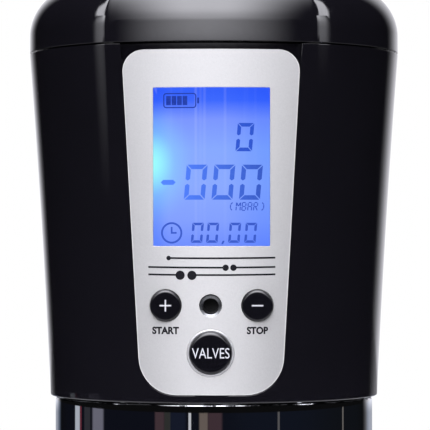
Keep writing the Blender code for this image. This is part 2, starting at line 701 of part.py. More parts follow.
def make_manifold(mat, filter_mat):
    x, y = PORT_XY
    block = box((x - 4.5, y - 4.5, 24.9), (x + 4.5, y + 4.5, 34.0), 0.5)
    manifold = add_object("air_manifold", block, mat)
    spots = [(x - 2.5, y - 2.0), (x + 2.5, y - 2.0), (x, y + 2.4)]
    for index, spot in enumerate(spots):
        spout = cylinder(NIPPLE_R, 33.0, 38.5, 12, spot)
        boolean(manifold, add_object(f"cutter_tee_{index}", spout, None, hidden=True), "UNION")
    inlet = cylinder(PORT_R, 24.0, 30.0, 12, PORT_XY)
    boolean(manifold, add_object("cutter_inlet", inlet, None, hidden=True))
    for index, spot in enumerate(spots):
        bore = cylinder(NIPPLE_BORE_R, 28.0, 40.0, 8, spot)
        boolean(manifold, add_object(f"cutter_tee_bore_{index}", bore, None, hidden=True))
    add_object("inlet_filter", cylinder(PORT_R - 0.3, 22.2, 24.2, 16, PORT_XY), filter_mat)
    return [Vector((*spot, 38.5)) for spot in spots]


def make_release_valve(steel, copper, bright, plastic):
    x, y = VALVE_XY
    shape = box((x - 5.5, y - 5.5, 26.9), (x + 5.5, y + 5.5, 47.0), 0.3)
    frame = add_object("release_valve_frame", shape, steel)
    hollow = box((x - 6.5, y - 4.6, 28.2), (x + 6.5, y + 4.6, 45.7))
    boolean(frame, add_object("cutter_frame_hollow", hollow, None, hidden=True))
    hole = cylinder(2.4, 44.0, 49.0, 12, VALVE_XY)
    boolean(frame, add_object("cutter_frame_hole", hole, None, hidden=True))
    coil = [(2.4, 28.5), (4.3, 28.5), (4.3, 45.4), (2.4, 45.4)]
    add_object("release_valve_coil", turned(coil, 20, True, VALVE_XY), copper)
    add_object("release_valve_foot", box((x - 4.5, y - 4.5, 24.9), (x + 4.5, y + 4.5, 26.6), 0.3), plastic)
    axis = anchor("plunger_axis", (x, y, PLUNGER_Z[0]))
    length = PLUNGER_Z[1] - PLUNGER_Z[0]
    add_object("release_valve_plunger", cylinder(2.0, 0.0, length, 14), bright, axis)
    nozzle = [
        (NIPPLE_BORE_R, 51.0), (3.0, 51.0), (3.0, 47.3), (5.0, 47.3), (5.0, 53.0), (NIPPLE_R, 53.4),
        (NIPPLE_R, 58.0), (NIPPLE_BORE_R, 58.0),
    ]
    add_object("release_valve_nozzle", turned(nozzle, 16, True, VALVE_XY), plastic)
    make_spring(bright)
    return Vector((x, y, 58.0))


def make_spring(mat):
    """A coil spring under the plunger, between the frame's foot and the plunger's end."""
    low = 28.5 + SPRING_WIRE_R
    high = PLUNGER_Z[0] - 0.3 - SPRING_WIRE_R
    count = 24
    curve = bpy.data.curves.new("release_valve_spring", "CURVE")
    curve.dimensions = "3D"
    curve.bevel_depth = SPRING_WIRE_R * MM
    curve.bevel_resolution = 0
    curve.use_fill_caps = True
    spline = curve.splines.new("POLY")
    spline.points.add(count)
    for i in range(count + 1):
        turn = 2.0 * math.pi * SPRING_TURNS * i / count
        x = VALVE_XY[0] + SPRING_R * math.cos(turn)
        y = VALVE_XY[1] + SPRING_R * math.sin(turn)
        z = low + (high - low) * i / count
        spline.points[i].co = (x * MM, y * MM, z * MM, 1.0)
    curve.materials.append(mat)
    spring = bpy.data.objects.new("release_valve_spring", curve)
    bpy.context.scene.collection.objects.link(spring)


def smooth_route(points, count):
    """Points spread along a Catmull-Rom curve through the given ones."""
    padded = [points[0] * 2 - points[1]] + list(points) + [points[-1] * 2 - points[-2]]
    spans = len(points) - 1
    route = []
    for i in range(count + 1):
        place = spans * i / count
        span = min(int(place), spans - 1)
        t = place - span
        a, b, c, d = padded[span:span + 4]
        even = 2 * b + (c - a) * t + (2 * a - 5 * b + 4 * c - d) * t ** 2
        route.append((even + (3 * b - a - 3 * c + d) * t ** 3) / 2)
    return route


def make_hose(name, points, mat):
    route = smooth_route([Vector(p) for p in points], 16)
    curve = bpy.data.curves.new(name, "CURVE")
    curve.dimensions = "3D"
    curve.bevel_depth = HOSE_R * MM
    curve.bevel_resolution = 1
    curve.use_fill_caps = True
    spline = curve.splines.new("POLY")
    spline.points.add(len(route) - 1)
    for point, place in zip(spline.points, route):
        point.co = (*(place * MM), 1.0)
    curve.materials.append(mat)
    hose = bpy.data.objects.new(name, curve)
    bpy.context.scene.collection.objects.link(hose)


def make_hoses(mat, manifold, pump, valve, sensor):
    up = Vector((0.0, 0.0, 1.0))
    lift = up * 0.3
    a, b, c = manifold
    make_hose("pump_hose", [
        b + lift, b + up * 6, (4.5, -14.5, 60.0), (5.0, -12.0, 80.0), (3.0, -7.0, 92.5),
        (-0.5, -1.5, 98.0), pump + up * 3.5, pump + lift], mat)
    make_hose("valve_hose", [
        a + lift, a + up * 6, (-3.5, -15.5, 52.0), (-8.5, -14.5, 61.5), (-15.5, -13.5, 65.5),
        valve + up * 4.5, valve + lift], mat)
    make_hose("sensor_hose", [
        c + lift, c + up * 6, (1.0, -10.0, 52.0), (0.5, -11.5, 60.0),
        sensor + Vector((0.0, 2.5, 0.0)), sensor + Vector((0.0, 0.3, 0.0))], mat)


# ---------------------------------------------------------------- cells and screws

def make_cells(cell_mat, holder_mat):
    low, high = CELL_Z
    for index, spot in enumerate(CELL_XY, start=1):
        profile = [
            (0.0, low), (CELL_R, low), (CELL_R, high - 1.5), (3.0, high - 1.5), (3.0, high), (0.0, high),
        ]
        add_object(f"battery_cell_{index}", turned(profile, 20, centre=spot), cell_mat)
    for name, bottom, top, seat in (
        ("battery_base", 24.9, 34.0, (low - 0.3, 60.0)),
        ("battery_top", 84.0, 93.0, (60.0, high + 0.3)),
    ):
        tray = add_object(name, stadium(CELL_XY, CELL_R + 1.2, bottom, top), holder_mat)
        for index, spot in enumerate(CELL_XY):
            well = cylinder(CELL_R + 0.3, seat[0], seat[1], 20, spot)
            boolean(tray, add_object(f"cutter_{name}_{index}", well, None, hidden=True))


def stadium(centres, radius, low, high):
    """An upright plate round two centres, with round ends."""
    first, second = Vector(centres[0]), Vector(centres[1])
    along = (second - first).normalized()
    side = Vector((-along.y, along.x))
    outline = []
    for centre, start in ((second, -side), (first, side)):
        for step in range(9):
            outline.append(centre + Matrix.Rotation(math.pi * step / 8.0, 2) @ (start * radius))
    bm = bmesh.new()
    bottom = [bm.verts.new((p.x, p.y, low)) for p in outline]
    top = [bm.verts.new((p.x, p.y, high)) for p in outline]
    join_rings(bm, [bottom, top])
    bm.faces.new(bottom)
    bm.faces.new(top)
    return bm


def collar_screw_places():
    places = []
    for index in range(3):
        turn = math.radians(50.0 + 120.0 * index)
        places.append((COLLAR_SCREW_R * math.sin(turn), -COLLAR_SCREW_R * math.cos(turn)))
    return places


def screw_shape(head_r, head_h, shank_r, shank_l):
    """A screw with its head down at z = 0 and its shank upwards."""
    profile = [
        (0.0, 0.6), (head_r * 0.4, 0.6), (head_r * 0.4, 0.0), (head_r * 0.8, 0.0), (head_r, 0.4),
        (head_r, head_h), (shank_r, head_h), (shank_r, head_h + shank_l), (0.0, head_h + shank_l + 0.6),
    ]
    return turned(profile, 10)


def make_screws(mat):
    for index, (x, y) in enumerate(collar_screw_places(), start=1):
        shape = move(screw_shape(2.2, 1.2, 1.2, 5.2), (x, y, COLLAR_FLANGE_Z - 1.5))
        add_object(f"collar_screw_{index}", shape, mat)
    for index, (x, z) in enumerate(BOARD_SCREWS, start=1):
        axis = anchor(f"board_screw_axis_{index}", (x, board_front_y(z) + BOARD_THICKNESS, z), FRONT_TILT)
        shape = face_front(screw_shape(1.9, 1.0, 0.9, 3.6))
        move(shape, (0.0, 1.3, 0.0))
        add_object(f"board_screw_{index}", shape, mat, axis)


def build():
    clear_scene()
    gloss_black = material("gloss_black_plastic", (0.012, 0.011, 0.014), 0.12)
    black = material("black_button_plastic", (0.015, 0.014, 0.018), 0.18)
    silver = material("silver_satin_plate", (0.72, 0.72, 0.75), 0.35, 0.9)
    chrome = material("mirror_chrome", (0.88, 0.89, 0.92), 0.04, 1.0)
    ring = material("polished_ring", (0.80, 0.80, 0.82), 0.12, 1.0)
    lens = material("clear_lens", (0.30, 0.45, 0.95), 0.08)
    glass = material("display_cell", (0.25, 0.38, 0.90), 0.10)
    light = material("backlight_diffuser", (0.85, 0.90, 1.0), 0.60)
    rubber = material("black_rubber", (0.02, 0.02, 0.02), 0.75)
    hose = material("clear_silicone", (0.75, 0.76, 0.74), 0.45)
    inner = material("inner_plastic", (0.08, 0.08, 0.09), 0.55)
    white = material("white_plastic", (0.75, 0.75, 0.72), 0.50)
    steel = material("plated_steel", (0.60, 0.60, 0.60), 0.35, 1.0)
    copper = material("copper_winding", (0.70, 0.30, 0.12), 0.40, 1.0)
    board = material("green_board", (0.02, 0.15, 0.07), 0.50)
    cell = material("cell_sleeve", (0.05, 0.16, 0.35), 0.40)
    brass = material("sintered_brass", (0.60, 0.45, 0.18), 0.60, 1.0)

    make_main_shell(gloss_black)
    make_top_cap(gloss_black)
    make_cap_seal(rubber)
    make_face_plate(silver)
    make_display_lens(lens)
    make_collar(chrome)
    make_vessel_gasket(rubber)

    for name, x, z, radius in (
        ("start", START_BUTTON_X, BUTTON_ROW_Z, SMALL_BUTTON_R),
        ("stop", STOP_BUTTON_X, BUTTON_ROW_Z, SMALL_BUTTON_R),
        ("valve", 0.0, VALVE_BUTTON_Z, VALVE_BUTTON_R),
    ):
        make_button(name, x, z, radius, black, inner, white)
    make_valve_ring(ring)
    make_socket(steel, inner)
    make_display(glass, light, inner)
    make_board(board)
    sensor = make_sensor(white)

    make_motor(steel, inner, copper, steel)
    make_cradle(inner)
    pump = make_pump_head(inner, rubber, white, white)
    manifold = make_manifold(white, brass)
    valve = make_release_valve(steel, copper, steel, white)
    make_hoses(hose, manifold, pump, valve, sensor)
    make_cells(cell, inner)
    make_screws(steel)


build()
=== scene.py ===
"""Looks of a hand-held digital vacuum pump head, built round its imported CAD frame.

Shapes are worked out in millimetres and scaled to metres. The face looks along -Y.
"""
import json
import math

import bmesh
import bpy
from mathutils import Matrix, Vector


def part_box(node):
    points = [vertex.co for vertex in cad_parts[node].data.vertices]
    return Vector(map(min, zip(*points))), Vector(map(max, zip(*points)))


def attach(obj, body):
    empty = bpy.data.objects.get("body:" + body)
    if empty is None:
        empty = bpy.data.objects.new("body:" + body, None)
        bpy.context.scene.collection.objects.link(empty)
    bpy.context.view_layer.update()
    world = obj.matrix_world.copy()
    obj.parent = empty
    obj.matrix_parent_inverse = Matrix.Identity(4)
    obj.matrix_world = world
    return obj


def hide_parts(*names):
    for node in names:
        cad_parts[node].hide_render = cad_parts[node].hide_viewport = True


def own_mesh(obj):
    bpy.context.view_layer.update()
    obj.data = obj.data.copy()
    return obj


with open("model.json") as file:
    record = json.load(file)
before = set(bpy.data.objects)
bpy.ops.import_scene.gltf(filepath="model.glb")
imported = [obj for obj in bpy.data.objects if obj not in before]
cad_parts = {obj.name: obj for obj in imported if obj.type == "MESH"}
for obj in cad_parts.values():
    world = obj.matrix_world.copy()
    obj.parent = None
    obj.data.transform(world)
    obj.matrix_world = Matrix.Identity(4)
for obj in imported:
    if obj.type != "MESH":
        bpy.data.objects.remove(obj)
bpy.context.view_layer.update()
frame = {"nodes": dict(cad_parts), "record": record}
MM = 0.001
ROOT = "pump_head"


def node_box(name):
    """A CAD node's lowest and highest corner, in millimetres."""
    low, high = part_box(name)
    return Vector(low) / MM, Vector(high) / MM


def node_middle(name):
    low, high = node_box(name)
    return (low + high) / 2.0


# ---------------------------------------------------------------- driving dimensions

SHELL_LOW, SHELL_HIGH = node_box("main_shell")
COLLAR_HIGH = node_box("suction_collar")[1]
CAP_HIGH = node_box("top_cap")[1]
PLATE_LOW, PLATE_HIGH = node_box("face_plate")
LENS_LOW, LENS_HIGH = node_box("display_lens")

# Housing: a tapered round shell, eased flatter at front and back between two creases
SHELL_BOTTOM_Z = SHELL_LOW.z
SEAM_Z = SHELL_HIGH.z
SHELL_TOP_R = SHELL_HIGH.x
SHELL_BOTTOM_R = 36.3
FLARE = 0.32
FACET_FLATTENING = 2.6
CREASE_ANGLE = math.radians(360.0 / 11.0)
CREASE_EASE = 0.02
WALL = 2.8
FLOOR_UNDERSIDE_Z = 22.0
FLOOR_TOP_Z = 24.6
SKIRT_INNER_R = 33.5
EDGE_ROUND = 0.35
SEAM_ROUND = 0.12

# Cap
SEAM_GAP = 0.35
CAP_STRAIGHT = 3.6
CAP_CORNER_R = 11.0
CAP_CORNER_TURN = math.radians(78.0)
CAP_WALL = 2.4
SPIGOT_DEPTH = 3.0
SPIGOT_OFFSET = WALL + 0.3
SPIGOT_WALL = 2.2
SEAL_GROOVE_Z = (SEAM_Z - 2.6, SEAM_Z - 1.0)
SEAL_GROOVE_DEPTH = 1.1

# Face plate and display window
PLATE_X = 0.08
PLATE_BOTTOM_Z = PLATE_LOW.z
PLATE_TOP_Z = PLATE_HIGH.z
PLATE_HALF_WIDTH_TOP = 18.88
PLATE_HALF_WIDTH_LOW = 15.53
PLATE_LOW_Z = 33.0
PLATE_CORNER_TOP = 4.4
PLATE_CORNER_LOW = 8.0
PLATE_DEPTH = (0.05, 1.15)
PLATE_EDGE_ROUND = 0.20
POCKET_DEPTH = 1.55
POCKET_GAP = 0.14
LENS_GAP = 0.12
LENS_DEPTH = (0.10, 1.05)
WINDOW_CENTRE = ((LENS_LOW + LENS_HIGH) / 2.0).xz
WINDOW_HALF = ((LENS_HIGH - LENS_LOW) / 2.0).xz
WINDOW_CORNER = 0.12
WINDOW_MARGIN = 0.8

# Controls
FRONT_TILT = math.radians(1.6)
BUTTON_PROUD = 0.9
BUTTON_FLANGE = 0.7
BUTTON_EXTRA_R = 0.06
CROWN_EDGE_PROUD = 0.05
CROWN_POWER = 20.0
HOLE_GAP = 0.10
HOLE_RIM = 0.05
HOUSING_HOLE_GAP = 0.3
HOUSING_HOLE_DEPTH = (-45.0, -29.0)
SOCKET_BORE_R = 1.65
SOCKET_SLEEVE_R = 2.3
SOCKET_RECESS = 0.5
SOCKET_DROP = 0.20
RING_R = (4.55, 4.85)
RING_OVERLAP = 0.08
RING_GAP = 0.03
INK_PROUD = 0.012
INK_THICKNESS = 0.02


# ---------------------------------------------------------------- mesh helpers

def add_object(name, bm, mat, body=ROOT, sharp=30.0):
    """A bmesh in millimetres becomes a named, smooth-shaded object in metres on a body."""
    bmesh.ops.scale(bm, vec=(MM, MM, MM), verts=bm.verts)
    bmesh.ops.recalc_face_normals(bm, faces=bm.faces)
    mesh = bpy.data.meshes.new(name)
    bm.to_mesh(mesh)
    bm.free()
    mesh.shade_smooth()
    mesh.set_sharp_from_angle(angle=math.radians(sharp))
    obj = bpy.data.objects.new(name, mesh)
    bpy.context.scene.collection.objects.link(obj)
    if mat:
        mesh.materials.append(mat)
    if body:
        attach(obj, body)
    return obj


def steady_shading(obj):
    """Keep broad faces true beside narrow rounded edges."""
    weighting = obj.modifiers.new("weights", "WEIGHTED_NORMAL")
    weighting.keep_sharp = True
    return obj


def evaluate(obj):
    bpy.context.view_layer.update()
    return obj.evaluated_get(bpy.context.evaluated_depsgraph_get())


def baked(obj):
    """The shape an object has once its modifiers are applied, or its lettering is filled."""
    evaluated = evaluate(obj)
    result = bmesh.new()
    result.from_mesh(evaluated.to_mesh())
    evaluated.to_mesh_clear()
    return result


def carve(bm, cutters):
    """Cut closed shapes out of another, all in millimetres, and give back the result."""
    target = add_object("carve_target", bm, None, None)
    tools = [add_object("carve_tool", tool, None, None) for tool in cutters]
    for tool in tools:
        modifier = target.modifiers.new("cut", "BOOLEAN")
        modifier.operation = "DIFFERENCE"
        modifier.solver = "EXACT"
        modifier.object = tool
    result = baked(target)
    for obj in [target] + tools:
        mesh = obj.data
        bpy.data.objects.remove(obj, do_unlink=True)
        bpy.data.meshes.remove(mesh)
    bmesh.ops.scale(result, vec=(1.0 / MM,) * 3, verts=result.verts)
    return result


def join_rings(bm, rings, closed_loop=False):
    """Skin a row of rings; a ring of one vertex is a pole."""
    pairs = list(zip(rings, rings[1:]))
    if closed_loop:
        pairs.append((rings[-1], rings[0]))
    for lower, upper in pairs:
        count = max(len(lower), len(upper))
        for i in range(count):
            j = (i + 1) % count
            if len(lower) == 1:
                bm.faces.new((lower[0], upper[j], upper[i]))
            elif len(upper) == 1:
                bm.faces.new((lower[i], lower[j], upper[0]))
            else:
                bm.faces.new((lower[i], lower[j], upper[j], upper[i]))


def turned(profile, segments=96, closed_loop=False, centre=(0.0, 0.0)):
    """Turn a profile of (radius, height) about a line parallel to Z."""
    bm = bmesh.new()
    rings = []
    for radius, height in profile:
        if radius < 1e-6:
            rings.append([bm.verts.new((centre[0], centre[1], height))])
            continue
        ring = []
        for i in range(segments):
            turn = 2.0 * math.pi * i / segments
            x = centre[0] + radius * math.sin(turn)
            y = centre[1] - radius * math.cos(turn)
            ring.append(bm.verts.new((x, y, height)))
        rings.append(ring)
    join_rings(bm, rings, closed_loop)
    return bm


def rounded_corner(before, here, after, radius, steps):
    """Points of an arc tangent to both sides of a corner."""
    here = Vector(here)
    before = (Vector(before) - here).normalized()
    after = (Vector(after) - here).normalized()
    half = before.angle(after) / 2.0
    centre = here + (before + after).normalized() * radius / math.sin(half)
    start = here + before * radius / math.tan(half) - centre
    end = here + after * radius / math.tan(half) - centre
    sweep = start.angle_signed(end)
    return [centre + Matrix.Rotation(-sweep * step / steps, 2) @ start for step in range(steps + 1)]


def fillet(profile, radii, steps=5):
    """Round the corners of a profile; radii names the corner's index and its radius."""
    rounded = []
    for index, point in enumerate(profile):
        if index in radii:
            after = profile[(index + 1) % len(profile)]
            rounded += rounded_corner(profile[index - 1], point, after, radii[index], steps)
        else:
            rounded.append(point)
    return rounded


def rounded_outline(corners, steps=10):
    """Corners are (x, z, radius); each becomes an arc tangent to its sides."""
    points = []
    for index, (x, z, radius) in enumerate(corners):
        after = corners[(index + 1) % len(corners)]
        points += rounded_corner(corners[index - 1][:2], (x, z), after[:2], max(radius, 0.02), steps)
    return points


def rectangle(x, z, half_w, half_h):
    """Corners of an upright rectangle, anticlockwise from its lower left."""
    return [(x + a * half_w, z + b * half_h) for a, b in ((-1, -1), (1, -1), (1, 1), (-1, 1))]


def slice_at(bm, axis, places):
    """Cut a shape's faces where they cross planes square to an axis."""
    normal = Vector((0.0, 0.0, 0.0))
    normal[axis] = 1.0
    for place in places:
        everything = bm.verts[:] + bm.edges[:] + bm.faces[:]
        bmesh.ops.bisect_plane(bm, geom=everything, plane_co=normal * place, plane_no=normal)


def slice_evenly(bm, axis, pitch):
    """Cut a shape's faces at every whole pitch along an axis."""
    low = min(vert.co[axis] for vert in bm.verts)
    high = max(vert.co[axis] for vert in bm.verts)
    slice_at(bm, axis, [pitch * i for i in range(math.ceil(low / pitch), math.ceil(high / pitch))])


def turn_about(bm, angle, axis):
    bmesh.ops.rotate(bm, cent=(0, 0, 0), matrix=Matrix.Rotation(angle, 3, axis), verts=bm.verts)
    return bm


def face_front(bm):
    """Lay a shape turned about Z down so that its top looks along -Y."""
    return turn_about(bm, math.pi / 2.0, "X")


def turned_in_front(profile, place, closed_loop=False):
    """Turn a profile of (radius, height), with its height square out of the leaning front at a place."""
    bm = face_front(turned(profile, 96, closed_loop))
    return move(turn_about(bm, FRONT_TILT, "X"), place)


def move(bm, offset):
    bmesh.ops.translate(bm, vec=offset, verts=bm.verts)
    return bm


# ---------------------------------------------------------------- housing surface

def shell_share(z):
    """0 at the housing's lower edge and 1 at the seam."""
    return (z - SHELL_BOTTOM_Z) / (SEAM_Z - SHELL_BOTTOM_Z)


def shell_radius(z):
    share = shell_share(z)
    bow = FLARE * 4.0 * share * (1.0 - share)
    return SHELL_BOTTOM_R + (SHELL_TOP_R - SHELL_BOTTOM_R) * share - bow


def shell_flattening(z):
    return FACET_FLATTENING * max(shell_share(z), 0.0)


def facet(radius, flattening):
    """The arc through both creases: its radius, and its centre on the Y axis."""
    half_chord = radius * math.sin(CREASE_ANGLE)
    sagitta = radius * (1.0 - math.cos(CREASE_ANGLE)) - flattening
    arc_radius = (half_chord ** 2 + sagitta ** 2) / (2.0 * sagitta)
    return arc_radius, arc_radius - (radius - flattening)


def section_radius(angle, radius, flattening):
    """Radius of the housing's section at an angle from -Y, with its creases just eased."""
    from_y = abs(math.atan2(math.sin(angle), math.cos(angle)))
    from_y = min(from_y, math.pi - from_y)
    if flattening < 0.01:
        return radius
    arc_radius, centre = facet(radius, flattening)
    flat = math.sqrt(arc_radius ** 2 - (centre * math.sin(from_y)) ** 2) - centre * math.cos(from_y)
    gap = abs(flat - radius)
    return min(flat, radius) - CREASE_EASE * math.log(1.0 + math.exp(-gap / CREASE_EASE))


def front_y(x, z):
    """Y of the housing's front surface at a place on it."""
    height = min(z, SEAM_Z)
    arc_radius, centre = facet(shell_radius(height), shell_flattening(height) + 1e-6)
    return centre - math.sqrt(arc_radius ** 2 - x ** 2)


def section_angles():
    """Even steps round the housing, closer together at its four creases."""
    crease = math.degrees(CREASE_ANGLE)
    creases = (crease, 180.0 - crease, 180.0 + crease, 360.0 - crease)
    even = [1.5 * step for step in range(240)]
    angles = [angle for angle in even if min(abs(angle - c) for c in creases) > 1.8]
    for c in creases:
        angles.append(c)
        for offset in (0.12, 0.25, 0.4, 0.6, 0.9, 1.3):
            angles += [c - offset, c + offset]
    return [math.radians(angle) for angle in sorted(angles)]


SECTION_ANGLES = section_angles()


def housing_ring(bm, z, radius, flattening, inset=0.0):
    ring = []
    for angle in SECTION_ANGLES:
        r = section_radius(angle, radius, flattening) - inset
        ring.append(bm.verts.new((r * math.sin(angle), -r * math.cos(angle), z)))
    return ring


def shell_point(angle, z):
    r = section_radius(angle, shell_radius(z), shell_flattening(z))
    return Vector((r * math.sin(angle), -r * math.cos(angle), z))


def shell_normal(angle, z):
    small = 0.002
    around = shell_point(angle + small, z) - shell_point(angle - small, z)
    up = shell_point(angle, z + 0.05) - shell_point(angle, z - 0.05)
    return around.cross(up).normalized()


# ---------------------------------------------------------------- curved front panels

def plate_half_width(z):
    share = (z - PLATE_LOW_Z) / (PLATE_TOP_Z - PLATE_LOW_Z)
    return PLATE_HALF_WIDTH_LOW + (PLATE_HALF_WIDTH_TOP - PLATE_HALF_WIDTH_LOW) * share


def plate_outline(grow=0.0, top=PLATE_TOP_Z, top_corner=PLATE_CORNER_TOP):
    bottom = PLATE_BOTTOM_Z - grow
    low = plate_half_width(bottom) + grow
    high = plate_half_width(top) + grow
    corner = PLATE_CORNER_LOW + grow
    return rounded_outline([
        (PLATE_X - low, bottom, corner), (PLATE_X + low, bottom, corner),
        (PLATE_X + high, top, top_corner), (PLATE_X - high, top, top_corner),
    ])


def window_outline(grow):
    corners = rectangle(*WINDOW_CENTRE, WINDOW_HALF.x + grow, WINDOW_HALF.y + grow)
    return rounded_outline([(x, z, WINDOW_CORNER + grow) for x, z in corners], steps=4)


def loft(outlines):
    """Skin closed outlines of equal count, each given with its depth along Y, front first."""
    bm = bmesh.new()
    rings = [[bm.verts.new((x, depth, z)) for x, z in outline] for outline, depth in outlines]
    for front, back in zip(rings, rings[1:]):
        for i in range(len(front)):
            j = (i + 1) % len(front)
            bm.faces.new((front[j], front[i], back[i], back[j]))
    bm.faces.new(rings[0])
    bm.faces.new(list(reversed(rings[-1])))
    return bm


def lay_on_front(name, bm, mat):
    """Cut a flat shape into strips, bend it to the housing's front, and carry its normals along."""
    slice_evenly(bm, 0, 1.0)
    slice_evenly(bm, 2, 2.0)
    obj = steady_shading(add_object(name, bm, mat, None))
    flat_normals = [Vector(n.vector) for n in evaluate(obj).data.corner_normals]
    obj.modifiers.clear()
    mesh = obj.data
    slopes = []
    small = 0.01
    for vert in mesh.vertices:
        x, z = vert.co.x / MM, vert.co.z / MM
        slope_x = (front_y(x + small, z) - front_y(x - small, z)) / (2.0 * small)
        slope_z = (front_y(x, z + small) - front_y(x, z - small)) / (2.0 * small)
        slopes.append((slope_x, slope_z))
        vert.co.y += front_y(x, z) * MM
    bent = []
    for loop, flat in zip(mesh.loops, flat_normals):
        slope_x, slope_z = slopes[loop.vertex_index]
        bent.append(Vector((flat.x - slope_x * flat.y, flat.y, flat.z - slope_z * flat.y)).normalized())
    mesh.normals_split_custom_set(bent)
    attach(obj, ROOT)
    return obj


def front_cutter(x, z, radius, depth):
    """A round cutter along Y, from one depth to the other."""
    near, far = -depth[0], -depth[1]
    return move(face_front(turned([(0.0, far), (radius, far), (radius, near), (0.0, near)], 64)), (x, 0, z))


def chamfered_cutter(x, z, radius, surface, back):
    """A round cutter that opens out by the holes' rim at the surface it leaves."""
    above = 1.0
    out = radius + HOLE_RIM + above
    profile = [
        (0.0, -back), (radius, -back), (radius, -surface - HOLE_RIM), (out, -surface + above),
        (0.0, -surface + above)]
    return move(face_front(turned(profile, 64)), (x, 0, z))


def front_holes(gap, ring_radius=0.0):
    """Place and radius of the holes for the buttons and the socket, with a gap all round.

    ring_radius is that of the ring round the valve button, where the hole has to pass it.
    """
    holes = [button_place("start_button"), button_place("stop_button")]
    centre, radius = button_place("valve_button")
    holes += [(centre, max(radius, ring_radius)), (node_middle("charge_socket_sleeve"), SOCKET_SLEEVE_R)]
    return [(centre.x, centre.z, radius + gap) for centre, radius in holes]


# ---------------------------------------------------------------- materials

class Graph:
    """Short names for the nodes a material or world is built from."""

    def __init__(self, tree):
        self.tree = tree
        self.tree.nodes.clear()

    def node(self, kind, inputs=(), **settings):
        """A node with its settings, and with its inputs by name or number."""
        made = self.tree.nodes.new(kind)
        for key, value in settings.items():
            setattr(made, key, value)
        for key, value in dict(inputs).items():
            self.feed(made.inputs[key], value)
        return made

    def feed(self, socket, value):
        if isinstance(value, bpy.types.NodeSocket):
            self.tree.links.new(value, socket)
        elif isinstance(value, (tuple, list)) and len(value) == 3 and len(socket.default_value) == 4:
            socket.default_value = (*value, 1.0)
        else:
            socket.default_value = value

    def math(self, operation, *values):
        return self.node("ShaderNodeMath", enumerate(values), operation=operation).outputs[0]

    def times(self, product, *factors):
        for factor in factors:
            product = self.math("MULTIPLY", product, factor)
        return product

    def step(self, value, low, high, start=0.0, end=1.0):
        """Rises smoothly from start to end as value goes from low to high."""
        inputs = {"Value": value, "From Min": low, "From Max": high, "To Min": start, "To Max": end}
        return self.node("ShaderNodeMapRange", inputs, interpolation_type="SMOOTHSTEP").outputs["Result"]

    def window(self, value, centre, half, soft):
        """1 within half of centre, falling to 0 over the soft margin."""
        off = self.math("ABSOLUTE", self.math("SUBTRACT", value, centre))
        return self.step(off, half, half + soft, 1.0, 0.0)

    def mix(self, share, first, second, blend="MIX"):
        inputs = {"Factor": share, 6: first, 7: second}
        return self.node("ShaderNodeMix", inputs, data_type="RGBA", blend_type=blend).outputs[2]

    def coordinates(self, scale=(1.0, 1.0, 1.0), offset=(0.0, 0.0, 0.0)):
        source = self.node("ShaderNodeTexCoord").outputs["Object"]
        inputs = {"Vector": source, "Scale": scale, "Location": offset}
        return self.node("ShaderNodeMapping", inputs, vector_type="POINT").outputs["Vector"]

    def separate(self, vector):
        return self.node("ShaderNodeSeparateXYZ", {0: vector}).outputs

    def azimuth(self, x, y):
        """Degrees from -Y, positive towards +X."""
        return self.times(self.math("ARCTAN2", x, self.times(y, -1.0)), 180.0 / math.pi)

    def noise(self, where, scale, detail=3.0, roughness=0.5):
        inputs = {"Vector": where, "Scale": scale, "Detail": detail, "Roughness": roughness}
        return self.node("ShaderNodeTexNoise", inputs).outputs["Fac"]

    def ramp(self, value, stops):
        made = self.node("ShaderNodeValToRGB", {"Fac": value})
        elements = made.color_ramp.elements
        while len(elements) < len(stops):
            elements.new(0.5)
        for element, (place, colour) in zip(elements, stops):
            element.position = place
            element.color = (*colour, 1.0)
        return made.outputs["Color"]

    def bump(self, height, strength, distance):
        inputs = {"Height": height, "Strength": strength, "Distance": distance}
        return self.node("ShaderNodeBump", inputs).outputs["Normal"]

    def shader(self, kind, **inputs):
        named = {key.replace("_", " "): value for key, value in inputs.items()}
        return self.node(kind, named).outputs[0]

    def either(self, share, first, second):
        """The first shader where share is 0, the second where it is 1."""
        return self.node("ShaderNodeMixShader", {0: share, 1: first, 2: second}).outputs[0]

    def finish(self, shader, kind="ShaderNodeOutputMaterial"):
        self.node(kind, {"Surface": shader})

    def principled(self, **inputs):
        self.finish(self.shader("ShaderNodeBsdfPrincipled", **inputs))


def new_material(name):
    made = bpy.data.materials.new(name)
    made.use_nodes = True
    return made, Graph(made.node_tree)


def grained(name, dark, light, roughness, grain, bump=0.0, metallic=0.0, stretch=(1, 1, 1), **extra):
    """A material with two tones and a roughness that drift over its surface, and a fine relief.

    roughness is its (least, most); grain is the size of the drift in noise cycles a metre.
    """
    made, g = new_material(name)
    where = g.coordinates(scale=stretch)
    broad = g.noise(where, grain * 0.12, 2.0)
    fine = g.noise(where, grain, 4.0, 0.6)
    if bump:
        extra["Normal"] = g.bump(fine, 0.25, bump * MM)
    rough = g.step(fine, 0.3, 0.7, *roughness)
    g.principled(Base_Color=g.mix(broad, dark, light), Roughness=rough, Metallic=metallic, **extra)
    return made


